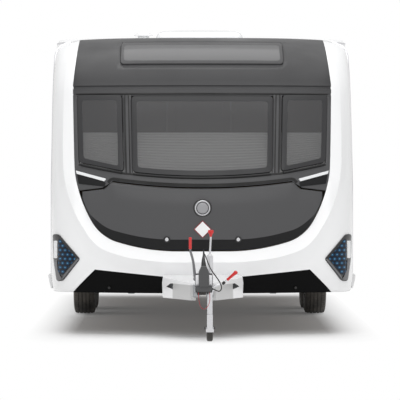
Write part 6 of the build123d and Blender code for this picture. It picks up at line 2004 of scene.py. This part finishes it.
def piping(name, shape, middle, axis, places, side):
    """Piped seams round a cushion at two places along one axis, on the far reach of its shape there."""
    a, b = (k for k in range(3) if k != axis)
    lift = np.eye(3)[axis]
    bins = np.linspace(-np.pi, np.pi, PIPING_POINTS + 1)
    turn = (bins[:-1] + bins[1:]) / 2
    grids = []
    for at in places:
        band = shape[np.abs(shape[:, axis] - at) < 0.0075]
        which = np.digitize(np.arctan2(band[:, b], band[:, a]), bins) - 1
        reach = np.hypot(band[:, a], band[:, b])
        furthest = np.array([reach[which == k].max(initial=0.0) for k in range(PIPING_POINTS)])
        seen = furthest > 0
        furthest = np.interp(turn, turn[seen], furthest[seen], period=2 * np.pi)
        ring = np.zeros((PIPING_POINTS, 3))
        ring[:, a], ring[:, b], ring[:, axis] = furthest * np.cos(turn), furthest * np.sin(turn), at
        ring = (ring + np.array(middle)) * (side, 1, 1)
        outward = unit(np.cross(unit(np.roll(ring, -1, axis=0) - np.roll(ring, 1, axis=0)), lift))
        upward = np.broadcast_to(lift * PIPING_RADIUS, ring.shape)
        tube = ring_tube(ring, outward * PIPING_RADIUS, upward, circle(1.0, 8))
        grids.append(closed(np.concatenate([tube, tube[:1]])))
    return build(name, grids, scatter_cloth, "upholstery")


SEAT_SIZE, BACK_SIZE = (0.59, 0.585, 0.115), (0.095, 0.585, 0.26)
seat_shape = stuffed("seat_form", SEAT_SIZE, 0.02)
back_shape = stuffed("back_form", BACK_SIZE, 0.018)
for side, word in SIDES:
    for half, y in (("front", -1.63), ("rear", -1.012)):
        seat_at, back_at = (0.842, y, 0.845), (1.095, y, 1.075)
        cushion(f"seat_cushion_{word}_{half}", seat_shape, seat_at, side)
        piping(f"seat_piping_{word}_{half}", seat_shape[1], seat_at, 2, (-0.05, 0.05), side)
        cushion(f"back_cushion_{word}_{half}", back_shape, back_at, side)
        piping(f"back_piping_{word}_{half}", back_shape[1], back_at, 0, (-0.04, 0.04), side)
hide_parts("sofas")

# %% Sofa plinths, kitchen fronts and the washroom's door
PLINTH = ((0.59, 0.472), (0.59, 0.53), (0.55, 0.54), (0.55, 0.762), (0.556, 0.768), (1.165, 0.768), (1.165, 0.472))
plinth_path = np.array([(0.0, y, 0.0) for y in (-1.938, -1.32, -0.702)])
plinths = [strip(plinth_path, (side, 0, 0), UP, PLINTH) for side, _ in SIDES]
build("sofa_plinths", plinths, *WOOD_PARTS, smooth=25)
KITCHEN_X = -0.568
PARTITION_Y = 1.952


def on_kitchen(y, height, proud):
    """Place on the kitchen's front."""
    y, height, proud = common(y, height, proud)
    return np.stack([KITCHEN_X + proud, y, height], axis=-1)


def on_partition(x, height, proud):
    """Place on the washroom partition's front."""
    x, height, proud = common(x, height, proud)
    return np.stack([x, PARTITION_Y - proud, height], axis=-1)


furniture = []  # name, middle, size, corner radius, rise, finish, slot, depth, face
for k in range(3):
    y = 0.083 + 0.367 * k
    furniture += [
        (f"kitchen_front_{k}", (y, 0.86), (0.35, 0.7), 0.01, 0.016, white_gelcoat, "furniture_wood", 0.0, on_kitchen),
        (f"kitchen_pull_{k}", (y, 1.16), (0.14, 0.014), 0.006, 0.03, *CHROME_PARTS, 0.0, on_kitchen),
    ]
furniture.append(("washroom_door", (0.0, 1.236), (0.594, 1.52), 0.004, 0.0, *WOOD_PARTS, 0.024, on_partition))
for k, z in enumerate((0.87, 1.6)):
    panel = ((0.0, z), (0.44, 0.62), 0.02, 0.006, *WOOD_PARTS, 0.001, on_partition)
    furniture.append((f"washroom_door_panel_{k}", *panel))
for name, middle, size, radius, rise, material, slot, depth, face in furniture:
    solid_patch(name, rectangle(middle, size), radius, rise, material, slot, depth=depth, place=face)
door_knob = turned(LATCH_PROFILE, (0.24, 1.95, 1.235), (0, -1, 0), 24)
build("washroom_door_knob", [door_knob], *CHROME_PARTS)
shown = sorted(name for name, node in nodes.items() if not node.hide_render)
print("solids that keep their own mesh:", shown)
